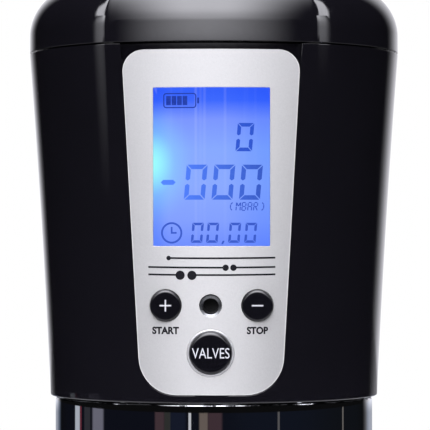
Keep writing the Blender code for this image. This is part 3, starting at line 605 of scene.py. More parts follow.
def make_materials():
    """One finish for each slot in the record, by the slot's name."""
    made = {}
    made["gloss_black"] = grained(
        "gloss_black_moulding", (0.0021, 0.0020, 0.0028), (0.0027, 0.0025, 0.0036), (0.035, 0.075), 900.0,
        bump=0.004)
    made["button_black"] = grained(
        "gloss_black_button", (0.0017, 0.0016, 0.0024), (0.0024, 0.0023, 0.0033), (0.035, 0.07), 2500.0,
        bump=0.003)
    made["silver_plate"] = satin_silver()
    made["bright_trim"] = grained(
        "polished_ring", (0.44, 0.44, 0.45), (0.50, 0.50, 0.51), (0.36, 0.46), 3000.0, metallic=0.9)
    made["chrome"] = grained(
        "mirror_chrome", (0.86, 0.87, 0.90), (0.92, 0.93, 0.95), (0.012, 0.04), 400.0, metallic=1.0)
    made["socket_metal"] = grained(
        "nickel_barrel", (0.125, 0.13, 0.14), (0.20, 0.205, 0.21), (0.26, 0.38), 4000.0, metallic=1.0)
    made["display_cell"] = grained(
        "display_cell", (0.16, 0.24, 0.60), (0.22, 0.32, 0.72), (0.05, 0.10), 900.0)
    made["diffuser"] = grained(
        "backlight_diffuser", (0.80, 0.84, 0.92), (0.90, 0.93, 0.98), (0.45, 0.65), 3000.0, bump=0.02)
    made["rubber"] = grained(
        "black_rubber", (0.014, 0.014, 0.015), (0.028, 0.028, 0.029), (0.55, 0.80), 3500.0, bump=0.03)
    made["silicone"] = grained(
        "milky_silicone", (0.60, 0.62, 0.60), (0.74, 0.76, 0.74), (0.32, 0.48), 1500.0, bump=0.01,
        Subsurface_Weight=0.25, Subsurface_Radius=(0.004, 0.004, 0.004), Subsurface_Scale=1.0)
    made["inner_plastic"] = grained(
        "moulded_black_plastic", (0.030, 0.030, 0.033), (0.055, 0.055, 0.060), (0.42, 0.60), 5000.0,
        bump=0.03)
    made["white_plastic"] = grained(
        "natural_nylon", (0.62, 0.61, 0.56), (0.76, 0.75, 0.70), (0.38, 0.52), 3500.0, bump=0.02)
    made["steel"] = grained(
        "plated_steel", (0.48, 0.48, 0.49), (0.66, 0.66, 0.67), (0.22, 0.38), 1800.0, metallic=1.0,
        stretch=(1, 1, 6), bump=0.01)
    made["copper"] = winding("copper_winding", (0.50, 0.17, 0.06), (0.85, 0.38, 0.17))
    made["board"] = grained(
        "board_laminate", (0.008, 0.085, 0.035), (0.016, 0.135, 0.060), (0.25, 0.42), 5200.0, bump=0.02)
    made["cell"] = grained(
        "cell_sleeve", (0.010, 0.055, 0.160), (0.022, 0.090, 0.240), (0.18, 0.32), 700.0, bump=0.03)
    made["sintered"] = grained(
        "sintered_bronze", (0.30, 0.20, 0.07), (0.66, 0.48, 0.20), (0.45, 0.75), 9000.0, bump=0.12,
        metallic=1.0)
    return made


def satin_silver():
    """Fine satin silver finish: a metallic paint with a barely visible sparkle."""
    made, g = new_material("satin_silver_plate")
    where = g.coordinates()
    flake = g.noise(where, 9000.0, 2.0, 0.7)
    grit = g.noise(where, 2600.0, 3.0, 0.7)
    cloud = g.noise(where, 60.0, 2.0)
    tone = g.mix(cloud, (0.411, 0.410, 0.407), (0.431, 0.430, 0.427))
    tone = g.mix(g.step(grit, 0.30, 0.70), g.mix(1.0, tone, (0.93, 0.93, 0.93), "MULTIPLY"), tone)
    colour = g.mix(g.step(flake, 0.35, 0.75), tone, (0.476, 0.475, 0.472))
    g.principled(
        Base_Color=colour, Metallic=0.90, Roughness=g.step(flake, 0.3, 0.7, 0.54, 0.62),
        Normal=g.bump(flake, 0.15, 0.004 * MM))
    return made


def painted_highlight_edge_finish():
    """The plate's cut edge, with a painted highlight: coloured lighter than its face."""
    return grained(
        "plate_edge_painted_highlight", (0.42, 0.42, 0.41), (0.48, 0.48, 0.47), (0.32, 0.44), 3000.0, metallic=0.15)


def chrome_with_painted_rim_shade(edge_z):
    """Mirror chrome whose top edge carries painted shade, near black in broken patches; edge_z is that edge's
    height in millimetres.
    """
    made, g = new_material("chrome_painted_rim_shade")
    where = g.coordinates()
    rim = g.window(g.separate(where)["Z"], edge_z * MM, 0.35 * MM, 0.1 * MM)
    gaps_in_painted_shade = g.step(g.noise(g.coordinates(scale=(1.0, 1.0, 4.0)), 260.0, 5.0, 0.75), 0.46, 0.56)
    colour = g.mix(g.noise(where, 48.0, 2.0), (0.86, 0.87, 0.90), (0.92, 0.93, 0.95))
    # painted shade: most of the rim band is coloured near black and left chrome in broken gaps, for the
    # overhang's shadow across the edge highlight
    colour = g.mix(g.times(rim, g.math("SUBTRACT", 1.0, gaps_in_painted_shade)), colour, (0.03, 0.03, 0.035))
    g.principled(
        Base_Color=colour, Metallic=1.0, Roughness=g.step(g.noise(where, 400.0), 0.3, 0.7, 0.012, 0.04))
    return made


def winding(name, dark, light):
    """Turns of enamelled wire, as fine bands up the part's height."""
    made, g = new_material(name)
    inputs = {"Vector": g.coordinates(), "Scale": 480.0, "Distortion": 0.6}
    bands = g.node("ShaderNodeTexWave", inputs, wave_type="BANDS", bands_direction="Z", wave_profile="SIN")
    relief = bands.outputs["Fac"]
    g.principled(
        Base_Color=g.mix(relief, dark, light), Metallic=0.8, Roughness=g.step(relief, 0.0, 1.0, 0.45, 0.28),
        Normal=g.bump(relief, 0.6, 0.15 * MM))
    return made


def display_glow():
    """The lit display: deep blue at the top, paler below, with a cyan bloom from its left edge."""
    made, g = new_material("lit_display")
    x, z = WINDOW_CENTRE
    half_w, half_h = WINDOW_HALF
    across, _, height = g.separate(g.coordinates(
        scale=(1.0 / (half_w * MM), 1.0 / MM, 1.0 / (half_h * MM)),
        offset=(-x / half_w, -front_y(x, z), -z / half_h)))
    base = g.ramp(g.math("MULTIPLY_ADD", height, 0.5, 0.5), (
        (0.00, (0.160, 0.270, 0.99)),
        (0.16, (0.225, 0.345, 0.99)),
        (0.38, (0.255, 0.395, 0.99)),
        (0.61, (0.240, 0.390, 0.99)),
        (0.80, (0.195, 0.300, 0.98)),
        (0.86, (0.115, 0.215, 0.97)),
        (0.92, (0.042, 0.133, 0.97)),
        (0.98, (0.032, 0.115, 0.95)),
    ))
    for start, end, shade in ((0.1, 1.0, (0.70, 0.84, 1.0)), (-0.70, -1.0, (0.68, 0.83, 1.0))):
        base = g.mix(g.step(across, start, end), base, shade, "MULTIPLY")
    from_left = g.math("POWER", g.math("ADD", across, 1.02), 2.0)
    rise = g.math("POWER", g.times(g.math("SUBTRACT", height, 0.04), 0.95), 2.0)
    far = g.math("SQRT", g.math("ADD", from_left, rise))
    lit = base
    for near, out, share, tint in (
        (0.05, 0.78, 0.58, (0.26, 0.76, 1.0)), (0.0, 0.42, 0.95, (0.34, 1.0, 0.98)),
    ):
        lit = g.mix(g.times(g.step(far, near, out, 1.0, 0.0), share), lit, tint)
    streaks = g.noise(g.coordinates(scale=(900.0, 1.0, 14.0)), 1.0, 2.0)
    lit = g.mix(g.step(streaks, 0.55, 0.8, 0.0, 0.05), lit, (0.45, 0.62, 1.0))
    upper = g.step(height, -1.0, 0.9, 0.35, 1.0)
    for place, strength in ((-0.27, 0.09), (-0.19, 0.04), (-0.12, 0.06), (0.235, 0.06)):
        line = g.times(g.window(across, place, 0.006, 0.032), upper, strength)
        lit = g.mix(line, lit, (0.75, 0.82, 1.0))
    g.principled(
        Base_Color=(0.002, 0.003, 0.008), Roughness=g.step(streaks, 0.2, 0.8, 0.05, 0.09),
        Emission_Color=lit, Emission_Strength=1.0)
    return made


def display_ink(name, left, right):
    """A display segment, lit from behind, whose tone drifts from left to right."""
    made, g = new_material(name)
    half_w = WINDOW_HALF.x
    where = g.coordinates(
        scale=(0.5 / (half_w * MM), 1.0, 1.0), offset=(0.5 - WINDOW_CENTRE.x / half_w * 0.5, 0, 0))
    grain = g.noise(g.coordinates(), 2500.0, 2.0)
    tone = g.mix(g.separate(where)["X"], left, right)
    tone = g.mix(g.step(grain, 0.3, 0.8, 0.0, 0.04), tone, (0.30, 0.50, 1.0))
    g.principled(
        Base_Color=(0.002, 0.003, 0.008), Roughness=0.07, Emission_Color=tone, Emission_Strength=1.0)
    return made


def printed_ink(name, colour, roughness):
    """Opaque ink with a faint fleck."""
    made, g = new_material(name)
    fleck = g.noise(g.coordinates(), 9000.0, 2.0)
    dark = tuple(c * 0.8 for c in colour)
    g.principled(
        Base_Color=g.mix(fleck, dark, colour), Roughness=g.step(fleck, 0.3, 0.7, roughness * 0.8, roughness),
        Specular_IOR_Level=0.05)
    return made


MATERIALS = make_materials()


# ---------------------------------------------------------------- outer pieces

def rounded_rim(ring, start, up, size):
    """Rings that round an edge; ring makes one at a level and inset, and up is the side the edge opens to."""
    steps = 4
    turns = [math.pi / 2.0 * step / steps for step in range(steps + 1)]
    return [ring(start + up * size * (1.0 - math.cos(turn)), size * (1.0 - math.sin(turn))) for turn in turns]


def make_housing():
    bm = bmesh.new()

    def ring(z, inset=0.0):
        return housing_ring(bm, z, shell_radius(z), shell_flattening(z), inset)

    rings = [[bm.verts.new((0, 0, FLOOR_UNDERSIDE_Z))]]
    rings.append(housing_ring(bm, FLOOR_UNDERSIDE_Z, SKIRT_INNER_R, 0.0))
    rings.append(housing_ring(bm, SHELL_BOTTOM_Z + 0.2, SKIRT_INNER_R, 0.0))
    rings.append(housing_ring(bm, SHELL_BOTTOM_Z, SKIRT_INNER_R + 0.2, 0.0))
    rings += rounded_rim(ring, SHELL_BOTTOM_Z, 1, EDGE_ROUND)
    levels = 38
    low, high = SHELL_BOTTOM_Z + EDGE_ROUND, SEAM_Z - SEAM_ROUND
    rings += [ring(low + (high - low) * level / levels) for level in range(1, levels)]
    rings += reversed(rounded_rim(ring, SEAM_Z, -1, SEAM_ROUND))
    rings += [ring(z, WALL) for z in (SEAM_Z, 56.0, FLOOR_TOP_Z)]
    rings.append([bm.verts.new((0, 0, FLOOR_TOP_Z))])
    join_rings(bm, rings)

    # the pocket for the plate, open above the seam, and the openings behind the window and the controls
    over = SEAM_Z + 3.0
    chamfer = 0.04
    cutters = [bend(loft([
        (plate_outline(POCKET_GAP + chamfer + 4.0, over, 0.0), -4.0),
        (plate_outline(POCKET_GAP, over, 0.0), chamfer),
        (plate_outline(POCKET_GAP, over, 0.0), POCKET_DEPTH),
    ]))]
    ledge = 1.1
    outline = rectangle(*WINDOW_CENTRE, WINDOW_HALF.x - ledge, WINDOW_HALF.y - ledge)
    cutters.append(loft([(outline, -45.0), (outline, -30.0)]))
    for x, z, radius in front_holes(HOUSING_HOLE_GAP):
        cutters.append(front_cutter(x, z, radius, HOUSING_HOLE_DEPTH))
    port = node_middle("inlet_filter").xy
    cutters.append(turned([(0, 20.5), (2.6, 20.5), (1.8, 22.6), (1.8, 26.0), (0, 26.0)], 32, centre=port))
    shell = add_object("housing_shell", carve(bm, cutters), MATERIALS["gloss_black"])
    set_shell_normals(shell)
    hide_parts("main_shell")


def bend(bm):
    """Bend a cutter to the housing's front."""
    slice_at(bm, 0, range(-22, 23))
    slice_at(bm, 2, range(21, 94, 3))
    bmesh.ops.triangulate(bm, faces=bm.faces[:])
    for vert in bm.verts:
        vert.co.y += front_y(vert.co.x, vert.co.z)
    return bm


def set_shell_normals(obj):
    """Give the outer surface its exact normals, so that cutting it leaves no ripple in the gloss."""
    mesh = obj.data
    normals = [Vector(n.vector) for n in mesh.corner_normals]
    low = SHELL_BOTTOM_Z + EDGE_ROUND - 0.01
    high = SEAM_Z - SEAM_ROUND + 0.01
    exact = {}
    for vert in mesh.vertices:
        x, y, z = vert.co / MM
        if not low <= z <= high:
            continue
        angle = math.atan2(x, -y)
        r = section_radius(angle, shell_radius(z), shell_flattening(z))
        if abs(math.hypot(x, y) - r) < 0.03:
            exact[vert.index] = shell_normal(angle, z)
    for polygon in mesh.polygons:
        for index in polygon.loop_indices:
            better = exact.get(mesh.loops[index].vertex_index)
            if better and better.dot(polygon.normal) > 0.97:
                normals[index] = better
    mesh.normals_split_custom_set(normals)


def make_cap():
    lower = SEAM_Z + SEAM_GAP
    corner_z = lower + CAP_STRAIGHT
    corner_r = SHELL_TOP_R - CAP_CORNER_R
    bm = bmesh.new()

    def ring(z, radius, inset=0.0, ease=1.0):
        return housing_ring(bm, z, radius, FACET_FLATTENING * ease * radius / SHELL_TOP_R, inset)

    rings = rounded_rim(lambda z, inset: ring(z, SHELL_TOP_R, inset), lower, 1, SEAM_ROUND)
    rings.append(ring(lower + 1.6, SHELL_TOP_R))
    rings.append(ring(corner_z - 0.3, SHELL_TOP_R))
    steps = 30
    for step in range(1, steps + 1):
        turn = CAP_CORNER_TURN * step / steps
        rings.append(ring(corner_z + CAP_CORNER_R * math.sin(turn), corner_r + CAP_CORNER_R * math.cos(turn)))
    edge_r = corner_r + CAP_CORNER_R * math.cos(CAP_CORNER_TURN)
    edge_z = corner_z + CAP_CORNER_R * math.sin(CAP_CORNER_TURN)
    crown = CAP_HIGH.z - edge_z
    steps = 20
    for step in range(1, steps):
        share = 1.0 - step / steps
        rings.append(ring(edge_z + crown * (1.0 - share ** 2), edge_r * share, 0.0, share ** 3))
    rings.append([bm.verts.new((0, 0, CAP_HIGH.z))])

    # the inside, the spigot that enters the housing, and the groove for its seal
    inner = [[bm.verts.new((0, 0, CAP_HIGH.z - CAP_WALL))]]
    inner.append(ring(edge_z - CAP_WALL, edge_r * 0.92))
    inner.append(ring(corner_z + 5.0, SHELL_TOP_R, 6.2))
    spigot_z = SEAM_Z - SPIGOT_DEPTH
    groove_low, groove_high = SEAL_GROOVE_Z
    for z, inset in (
        (lower, SPIGOT_WALL), (spigot_z, SPIGOT_WALL), (spigot_z, 0.2), (groove_low, 0.0),
        (groove_low, SEAL_GROOVE_DEPTH), (groove_high, SEAL_GROOVE_DEPTH), (groove_high, 0.0), (lower, 0.0),
    ):
        inner.append(ring(z, SHELL_TOP_R, SPIGOT_OFFSET + inset))
    join_rings(bm, rings)
    join_rings(bm, inner)
    join_rings(bm, [inner[-1], rings[0]])
    cap = steady_shading(add_object("domed_cap", bm, MATERIALS["gloss_black"]))
    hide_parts("top_cap")


def make_plate():
    front, back = PLATE_DEPTH
    rings = rounded_rim(lambda depth, inset: (plate_outline(-inset), depth), front, 1, PLATE_EDGE_ROUND)
    rings.append((plate_outline(), back))
    holes = [loft([
        (window_outline(LENS_GAP + 1.0 + HOLE_RIM), front - 1.0),
        (window_outline(LENS_GAP), front + HOLE_RIM),
        (window_outline(LENS_GAP), back + 1.0),
    ])]
    for x, z, radius in front_holes(HOLE_GAP, RING_R[1]):
        holes.append(chamfered_cutter(x, z, radius, front, back + 1.0))
    plate = lay_on_front("silver_face_plate", carve(loft(rings), holes), MATERIALS["silver_plate"])

    # its rounded edge and the rims of its round holes take a painted highlight, a finish lighter than the
    # face
    plate.data.materials.append(painted_highlight_edge_finish())
    for polygon in plate.data.polygons:
        points = [plate.data.vertices[index].co / MM for index in polygon.vertices]
        depths = [point.y - front_y(point.x, point.z) for point in points]
        off = (polygon.center / MM).xz - WINDOW_CENTRE
        at_window = abs(off.x) < WINDOW_HALF.x + WINDOW_MARGIN and abs(off.y) < WINDOW_HALF.y + WINDOW_MARGIN
        sloping = max(depths) - min(depths) > 0.012
        if sloping and max(depths) < front + PLATE_EDGE_ROUND + 0.02 and not at_window:
            polygon.material_index = 1
    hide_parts("face_plate")


def make_screen():
    front, back = LENS_DEPTH
    edge = ((0.02, front), (0.06, front + 0.02), (0.08, front + 0.08), (0.08, back))
    rings = [(window_outline(grow), depth) for grow, depth in edge]
    screen = lay_on_front("display_window", loft(rings), display_glow())
    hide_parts("display_lens")


def make_collar():
    edge_z = 19.7
    flange_r = 24.0
    flange_z = 18.7
    inner_r = 31.5
    profile = fillet([
        (COLLAR_HIGH.x - 0.9, 0.0), (COLLAR_HIGH.x, 0.0), (COLLAR_HIGH.x, edge_z),
        (SKIRT_INNER_R - 0.3, edge_z), (SKIRT_INNER_R - 0.3, COLLAR_HIGH.z), (flange_r, COLLAR_HIGH.z),
        (flange_r, flange_z), (inner_r, flange_z), (inner_r, 0.0),
    ], {1: 0.5, 2: 0.35, 5: 0.3, 6: 0.5, 8: 0.5})
    ring = turned(profile, 240, closed_loop=True)
    collar = steady_shading(add_object("chrome_collar", ring, chrome_with_painted_rim_shade(edge_z), sharp=35.0))
    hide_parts("suction_collar")
    gasket = fillet([(25.0, 13.9), (31.2, 13.9), (31.2, 16.9), (25.0, 16.9)], {0: 1.2, 1: 0.5, 3: 1.2}, 6)
    lip = []
    for radius, z in gasket:
        groove = 0.35 * math.exp(-((radius - 28.2) / 0.7) ** 2)
        lip.append((radius, z + groove if z < 14.0 else z))
    seat = add_object("vessel_seat_gasket", turned(lip, 160, closed_loop=True), MATERIALS["rubber"])
    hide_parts("vessel_gasket")


# ---------------------------------------------------------------- controls

def button_place(name):
    """Centre of a round button, and its radius above the flange that keeps it in."""
    low, high = node_box(name)
    centre = (low + high) / 2.0
    radius = (high.x - low.x) / 2.0 - BUTTON_FLANGE + BUTTON_EXTRA_R
    return Vector((centre.x, front_y(centre.x, centre.z), front_height(low, high))), radius


def front_height(low, high):
    """A tilted button's box is a little tall; its front centre lies on its axis."""
    middle = (low.z + high.z) / 2.0
    deep = (high.y - low.y) / 2.0 - BUTTON_PROUD
    return middle - math.sin(FRONT_TILT) * deep


def dome(r, radius):
    """How far a button's crown stands above the housing's surface at a radius."""
    share = min(r / radius, 1.0)
    return CROWN_EDGE_PROUD + (BUTTON_PROUD - CROWN_EDGE_PROUD) * (1.0 - share ** CROWN_POWER) ** 0.5


def make_button(node, name, body):
    centre, radius = button_place(node)
    low, high = node_box(node)
    depth = high.y - low.y - BUTTON_PROUD
    rings = 36
    radii = [radius * math.sin(math.pi / 2.0 * i / rings) for i in range(1, rings + 1)]
    profile = [(0.0, BUTTON_PROUD)] + [(r, dome(r, radius)) for r in radii]
    skirt = radius + BUTTON_FLANGE
    profile += [(radius, -depth + 0.7), (skirt, -depth + 0.7), (skirt, -depth), (0.0, -depth)]
    bm = turned_in_front(profile, centre)
    button = steady_shading(add_object(name, bm, MATERIALS["button_black"], body))
    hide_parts(node)


def ribbon(bm, points, width, closed=False):
    """A flat strip of even width along a path in X and Z, with mitred turns."""
    path = [Vector(p) for p in points]
    last = len(path) - 1
    sides = []
    for i, here in enumerate(path):
        into = here - path[i - 1] if closed or i else path[1] - here
        out = path[i + 1 if i < last else 0] - here if closed or i < last else into
        into.normalize()
        along = (into + out.normalized()).normalized()
        across = Vector((-along.y, along.x))
        stretch = width / 2.0 / max(across.dot(Vector((-into.y, into.x))), 0.35)
        edges = (here + across * stretch, here - across * stretch)
        sides.append([bm.verts.new((edge.x, 0.0, edge.y)) for edge in edges])
    if closed:
        sides.append(sides[0])
    for (a, b), (c, d) in zip(sides, sides[1:]):
        bm.faces.new((a, b, d, c))


def patch(bm, points):
    """A flat filled shape in X and Z."""
    bm.faces.new([bm.verts.new((x, 0.0, z)) for x, z in points])


def disc(bm, x, z, radius):
    segments = 32
    turns = [2 * math.pi * i / segments for i in range(segments)]
    patch(bm, [(x + radius * math.sin(turn), z - radius * math.cos(turn)) for turn in turns])


def cross(x, z, arm, half):
    """Outline of a plus sign."""
    quarter = [(half, -arm), (half, -half), (arm, -half)]
    outline = []
    for _ in range(4):
        outline += [(x + a, z + b) for a, b in quarter]
        quarter = [(-b, a) for a, b in quarter]
    return outline


def lay_ink(name, bm, mat, height, body=ROOT, pitch=1.0):
    """Raise flat artwork into a thin film and lay it on a surface; height gives the surface's y."""
    slice_evenly(bm, 0, pitch)
    slice_evenly(bm, 2, pitch)
    for face in bm.faces:
        if face.normal.y > 0.0:
            face.normal_flip()
    bm.normal_update()
    made = bmesh.ops.extrude_face_region(bm, geom=bm.faces[:])
    raised = {v for v in made["geom"] if isinstance(v, bmesh.types.BMVert)}
    for vert in bm.verts:
        sunk = 0.0 if vert in raised else INK_THICKNESS
        vert.co.y = height(vert.co.x, vert.co.z) - INK_PROUD + sunk
    add_object(name, bm, mat, body)


def plate_surface(x, z):
    return front_y(x, z) + PLATE_DEPTH[0]


def lettering(text, size, place, weight):
    """Plain lettering as flat faces in X and Z, of a width and height, centred on a place."""
    curve = bpy.data.curves.new("lettering", "FONT")
    curve.body = text
    curve.size = 2.0
    curve.offset = weight
    curve.resolution_u = 4
    obj = bpy.data.objects.new("lettering", curve)
    bpy.context.scene.collection.objects.link(obj)
    bm = baked(obj)
    bpy.data.objects.remove(obj, do_unlink=True)
    bpy.data.curves.remove(curve)
    low = [min(v.co[axis] for v in bm.verts) for axis in (0, 1)]
    high = [max(v.co[axis] for v in bm.verts) for axis in (0, 1)]
    for vert in bm.verts:
        across = (vert.co.x - low[0]) / (high[0] - low[0]) - 0.5
        up = (vert.co.y - low[1]) / (high[1] - low[1]) - 0.5
        vert.co = (place[0] + across * size[0], 0.0, place[1] + up * size[1])
    return bm


# Display artwork, in millimetres from the window's centre. A digit is (width, height), the battery
# (x, z, width, height), the clock (x, z, radius) and the minus sign (left, right, z, thickness).
BIG_DIGIT = (4.38, 7.33)
BIG_DIGITS_LEFT = (-5.80, -0.02, 5.73)
BIG_DIGITS_TOP = 0.43
SMALL_DIGIT = (3.45, 5.92)
SMALL_DIGIT_PLACE = (5.0, 9.14)
TIMER_DIGIT = (2.40, 4.2)
TIMER_LEFT = (-4.35, -1.15, 3.45, 6.80)
TIMER_TOP = -11.7
DIGIT_SLANT = math.tan(math.radians(5.0))
BATTERY = (-6.62, 13.81, 6.70, 2.92)
CLOCK = (-8.35, -13.82, 2.04)
MINUS = (-10.65, -7.50, -3.26, 1.04)
UNIT_PLACE = (7.43, -8.30)


def zero(bm, left, top, size, stroke, gap):
    """A seven-segment nought: six mitred strokes round a slanted frame."""
    width, height = size
    bottom = top - height
    right = left + width
    mid = top - height / 2.0
    s, g = stroke, gap / 2.0
    tip = 0.30 + 0.04 * s
    shoulder = tip + s * 0.35
    shapes = [
        [(left + g, top), (right - g, top), (right - s - g, top - s), (left + s + g, top - s)],
        [(left + s + g, bottom + s), (right - s - g, bottom + s), (right - g, bottom), (left + g, bottom)],
    ]
    for outer, inner in ((left, left + s), (right, right - s)):
        centre = (outer + inner) / 2.0
        for end, turn in ((top, 1.0), (bottom, -1.0)):
            shapes.append([
                (outer, end - turn * g), (inner, end - turn * (s + g)), (inner, mid + turn * shoulder),
                (centre, mid + turn * tip), (outer, mid + turn * shoulder)])
    for shape in shapes:
        patch(bm, [(x + (z - bottom) * DIGIT_SLANT, z) for x, z in shape])


# The unit's letters, as strokes in a square of side 1
LEFT_LOW, LEFT_HIGH = ((0.0, 0.0), (0.0, 0.46)), ((0.0, 0.54), (0.0, 1.0))
LEFT_SHORT = ((0.0, 0.54), (0.0, 0.92))
BARS = [((0.12, z), (0.80, z)) for z in (1.0, 0.5, 0.0)]
UNIT_LETTERS = {
    "(": [((0.45, 1.0), (0.0, 0.75)), ((0.0, 0.68), (0.0, 0.32)), ((0.0, 0.25), (0.45, 0.0))],
    "M": [LEFT_LOW, LEFT_HIGH, ((0.10, 0.95), (0.46, 0.55)), ((0.54, 0.55), (0.90, 0.95)),
          ((1.0, 1.0), (1.0, 0.54)), ((1.0, 0.46), (1.0, 0.0))],
    "B": [LEFT_LOW, LEFT_HIGH, *BARS, ((0.90, 0.90), (0.90, 0.58)), ((0.90, 0.42), (0.90, 0.10))],
    "A": [LEFT_LOW, LEFT_SHORT, *BARS[:2], ((0.92, 0.92), (0.92, 0.54)), ((0.92, 0.46), (0.92, 0.0))],
    "R": [LEFT_LOW, LEFT_SHORT, *BARS[:2], ((0.92, 0.92), (0.92, 0.58)), ((0.45, 0.44), (0.92, 0.0))],
    ")": [((0.55, 1.0), (1.0, 0.75)), ((1.0, 0.68), (1.0, 0.32)), ((1.0, 0.25), (0.55, 0.0))],
}
UNIT_PITCH = 1.22
UNIT_SIZE = (0.84, 1.62)
UNIT_STROKE = 0.22


def unit_letters(bm):
    """The pressure unit, each letter made of short separate strokes."""
    width, height = UNIT_SIZE
    left = UNIT_PLACE[0] - (UNIT_PITCH * (len(UNIT_LETTERS) - 1) + width) / 2.0
    for strokes in UNIT_LETTERS.values():
        for stroke in strokes:
            rises = [(z - 0.5) * height for _, z in stroke]
            ribbon(bm, [(left + x * width + up * DIGIT_SLANT, UNIT_PLACE[1] + up)
                        for (x, _), up in zip(stroke, rises)], UNIT_STROKE)
        left += UNIT_PITCH


def merge(parts):
    """Gather flat shapes into one bmesh."""
    whole = bmesh.new()
    for part in parts:
        mesh = bpy.data.meshes.new("part")
        part.to_mesh(mesh)
        part.free()
        whole.from_mesh(mesh)
        bpy.data.meshes.remove(mesh)
    return whole


def make_display_artwork():
    main = bmesh.new()
    for left in BIG_DIGITS_LEFT:
        zero(main, left, BIG_DIGITS_TOP, BIG_DIGIT, 0.95, 0.28)
    start, end, z, thick = MINUS
    tip = thick / 2.0
    patch(main, [
        (start, z), (start + tip, z - tip), (end - tip, z - tip), (end, z), (end - tip, z + tip),
        (start + tip, z + tip)])

    deep = bmesh.new()
    zero(deep, *SMALL_DIGIT_PLACE, SMALL_DIGIT, 0.78, 0.22)

    icons = bmesh.new()
    x, z, width, height = BATTERY
    left, right = x - width / 2, x + width / 2
    frame_path = rounded_outline([(a, b, 0.5) for a, b in rectangle(x, z, width / 2, height / 2)], steps=4)
    ribbon(icons, frame_path, 0.24, closed=True)
    for bar in range(4):
        patch(icons, rectangle(left + 0.985 + bar * 1.15, z, 0.485, 0.95))
    patch(icons, rectangle(right + 0.50, z, 0.20, 0.60))

    fine = bmesh.new()
    x, z, radius = CLOCK
    turns = [math.pi * i / 24 for i in range(48)]
    ring = [(x + radius * math.sin(turn), z + radius * math.cos(turn)) for turn in turns]
    ribbon(fine, ring, 0.40, closed=True)
    ribbon(fine, [(x, z + 1.25), (x, z), (x + 1.05, z)], 0.36)
    for left in TIMER_LEFT:
        zero(fine, left, TIMER_TOP, TIMER_DIGIT, 0.53, 0.15)
    z = TIMER_TOP - TIMER_DIGIT[1]
    comma = [(2.05, z - 0.30), (2.45, z - 0.25), (2.75, z + 0.42), (2.30, z + 0.42)]
    patch(fine, comma)
    unit_letters(fine)

    def screen(px, pz):
        return front_y(px, pz) + LENS_DEPTH[0]

    for name, bm, ink, left, right in (
        ("display_digits", main, "segment_blue", (0.092, 0.245, 1.10), (0.030, 0.085, 0.50)),
        ("display_small_digit", deep, "segment_deep_blue", (0.030, 0.095, 0.72), (0.022, 0.084, 0.58)),
        ("display_battery_icon", icons, "icon_blue", (0.010, 0.036, 0.36), (0.016, 0.050, 0.44)),
        ("display_clock_and_unit", fine, "fine_blue", (0.040, 0.100, 0.58), (0.038, 0.095, 0.56)),
    ):
        move(bm, (WINDOW_CENTRE.x, 0.0, WINDOW_CENTRE.y))
        lay_ink(name, bm, display_ink(ink, left, right), screen)


# Printed artwork on the plate, in millimetres; a line's breaks are dots, each (x, radius)
LINE_LEFT = -13.1
LINE_RIGHT = 13.55
LINE_BOW = 0.14
LINE_WIDTH = 0.38
LINE_Z = (50.5, 48.55, 47.0)
LINE_BREAKS = (((-8.8, 0.48),), ((3.14, 0.67), (4.78, 0.67)), ((-6.38, 0.97), (-3.90, 0.97)))
DOT_DROP = (0.0, 0.03, 0.07)
LABEL_Z = 35.25


def make_printing():
    art = bmesh.new()

    def bowed(x, z):
        return z - LINE_BOW * (1.0 - (x / LINE_RIGHT) ** 2)

    for z, dots, drop_by in zip(LINE_Z, LINE_BREAKS, DOT_DROP):
        for x, radius in dots:
            disc(art, x, bowed(x, z) - drop_by, radius)
        spans = [(dots[-1][0], LINE_RIGHT)]
        if len(dots) > 1:
            spans.append((LINE_LEFT, dots[0][0]))
        for start, end in spans:
            count = 16
            places = [start + (end - start) * i / count for i in range(count + 1)]
            ribbon(art, [(x, bowed(x, z)) for x in places], LINE_WIDTH)
    parts = [art]
    for name, text, width in (("start_button", "START", 5.65), ("stop_button", "STOP", 4.45)):
        parts.append(lettering(text, (width, 1.58), (button_place(name)[0].x, LABEL_Z), 0.085))
    dark = printed_ink("printed_black", (0.006, 0.006, 0.008), 0.5)
    lay_ink("printed_lines_and_labels", merge(parts), dark, plate_surface)


def make_button_marks():
    white = printed_ink("white_inlay", (0.31, 0.31, 0.33), 0.4)

    def crown(centre, radius):
        def height(x, z):
            r = math.hypot(x - centre.x, z - centre.z)
            lean = (z - centre.z) * math.sin(FRONT_TILT)
            return centre.y - dome(r, radius) * math.cos(FRONT_TILT) - lean
        return height

    arm = 1.22
    half = 0.155
    for node, body, name in (
        ("start_button", "start_key", "plus_mark"), ("stop_button", "stop_key", "minus_mark"),
    ):
        centre, radius = button_place(node)
        x, z = centre.x, centre.z
        bm = bmesh.new()
        patch(bm, cross(x, z, arm, half) if name == "plus_mark" else rectangle(x, z, arm, half))
        lay_ink(name, bm, white, crown(centre, radius), body, 0.3)
    centre, radius = button_place("valve_button")
    bm = lettering("VALVES", (7.85, 2.2), (centre.x + 0.05, centre.z + 0.02), 0.0)
    lay_ink("valves_mark", bm, white, crown(centre, radius), "valve_key", 0.2)


# The release valve's spring; the wire is given by its radius
SPRING_RADIUS = 1.45
SPRING_WIRE = 0.13
SPRING_TURNS = 3.0


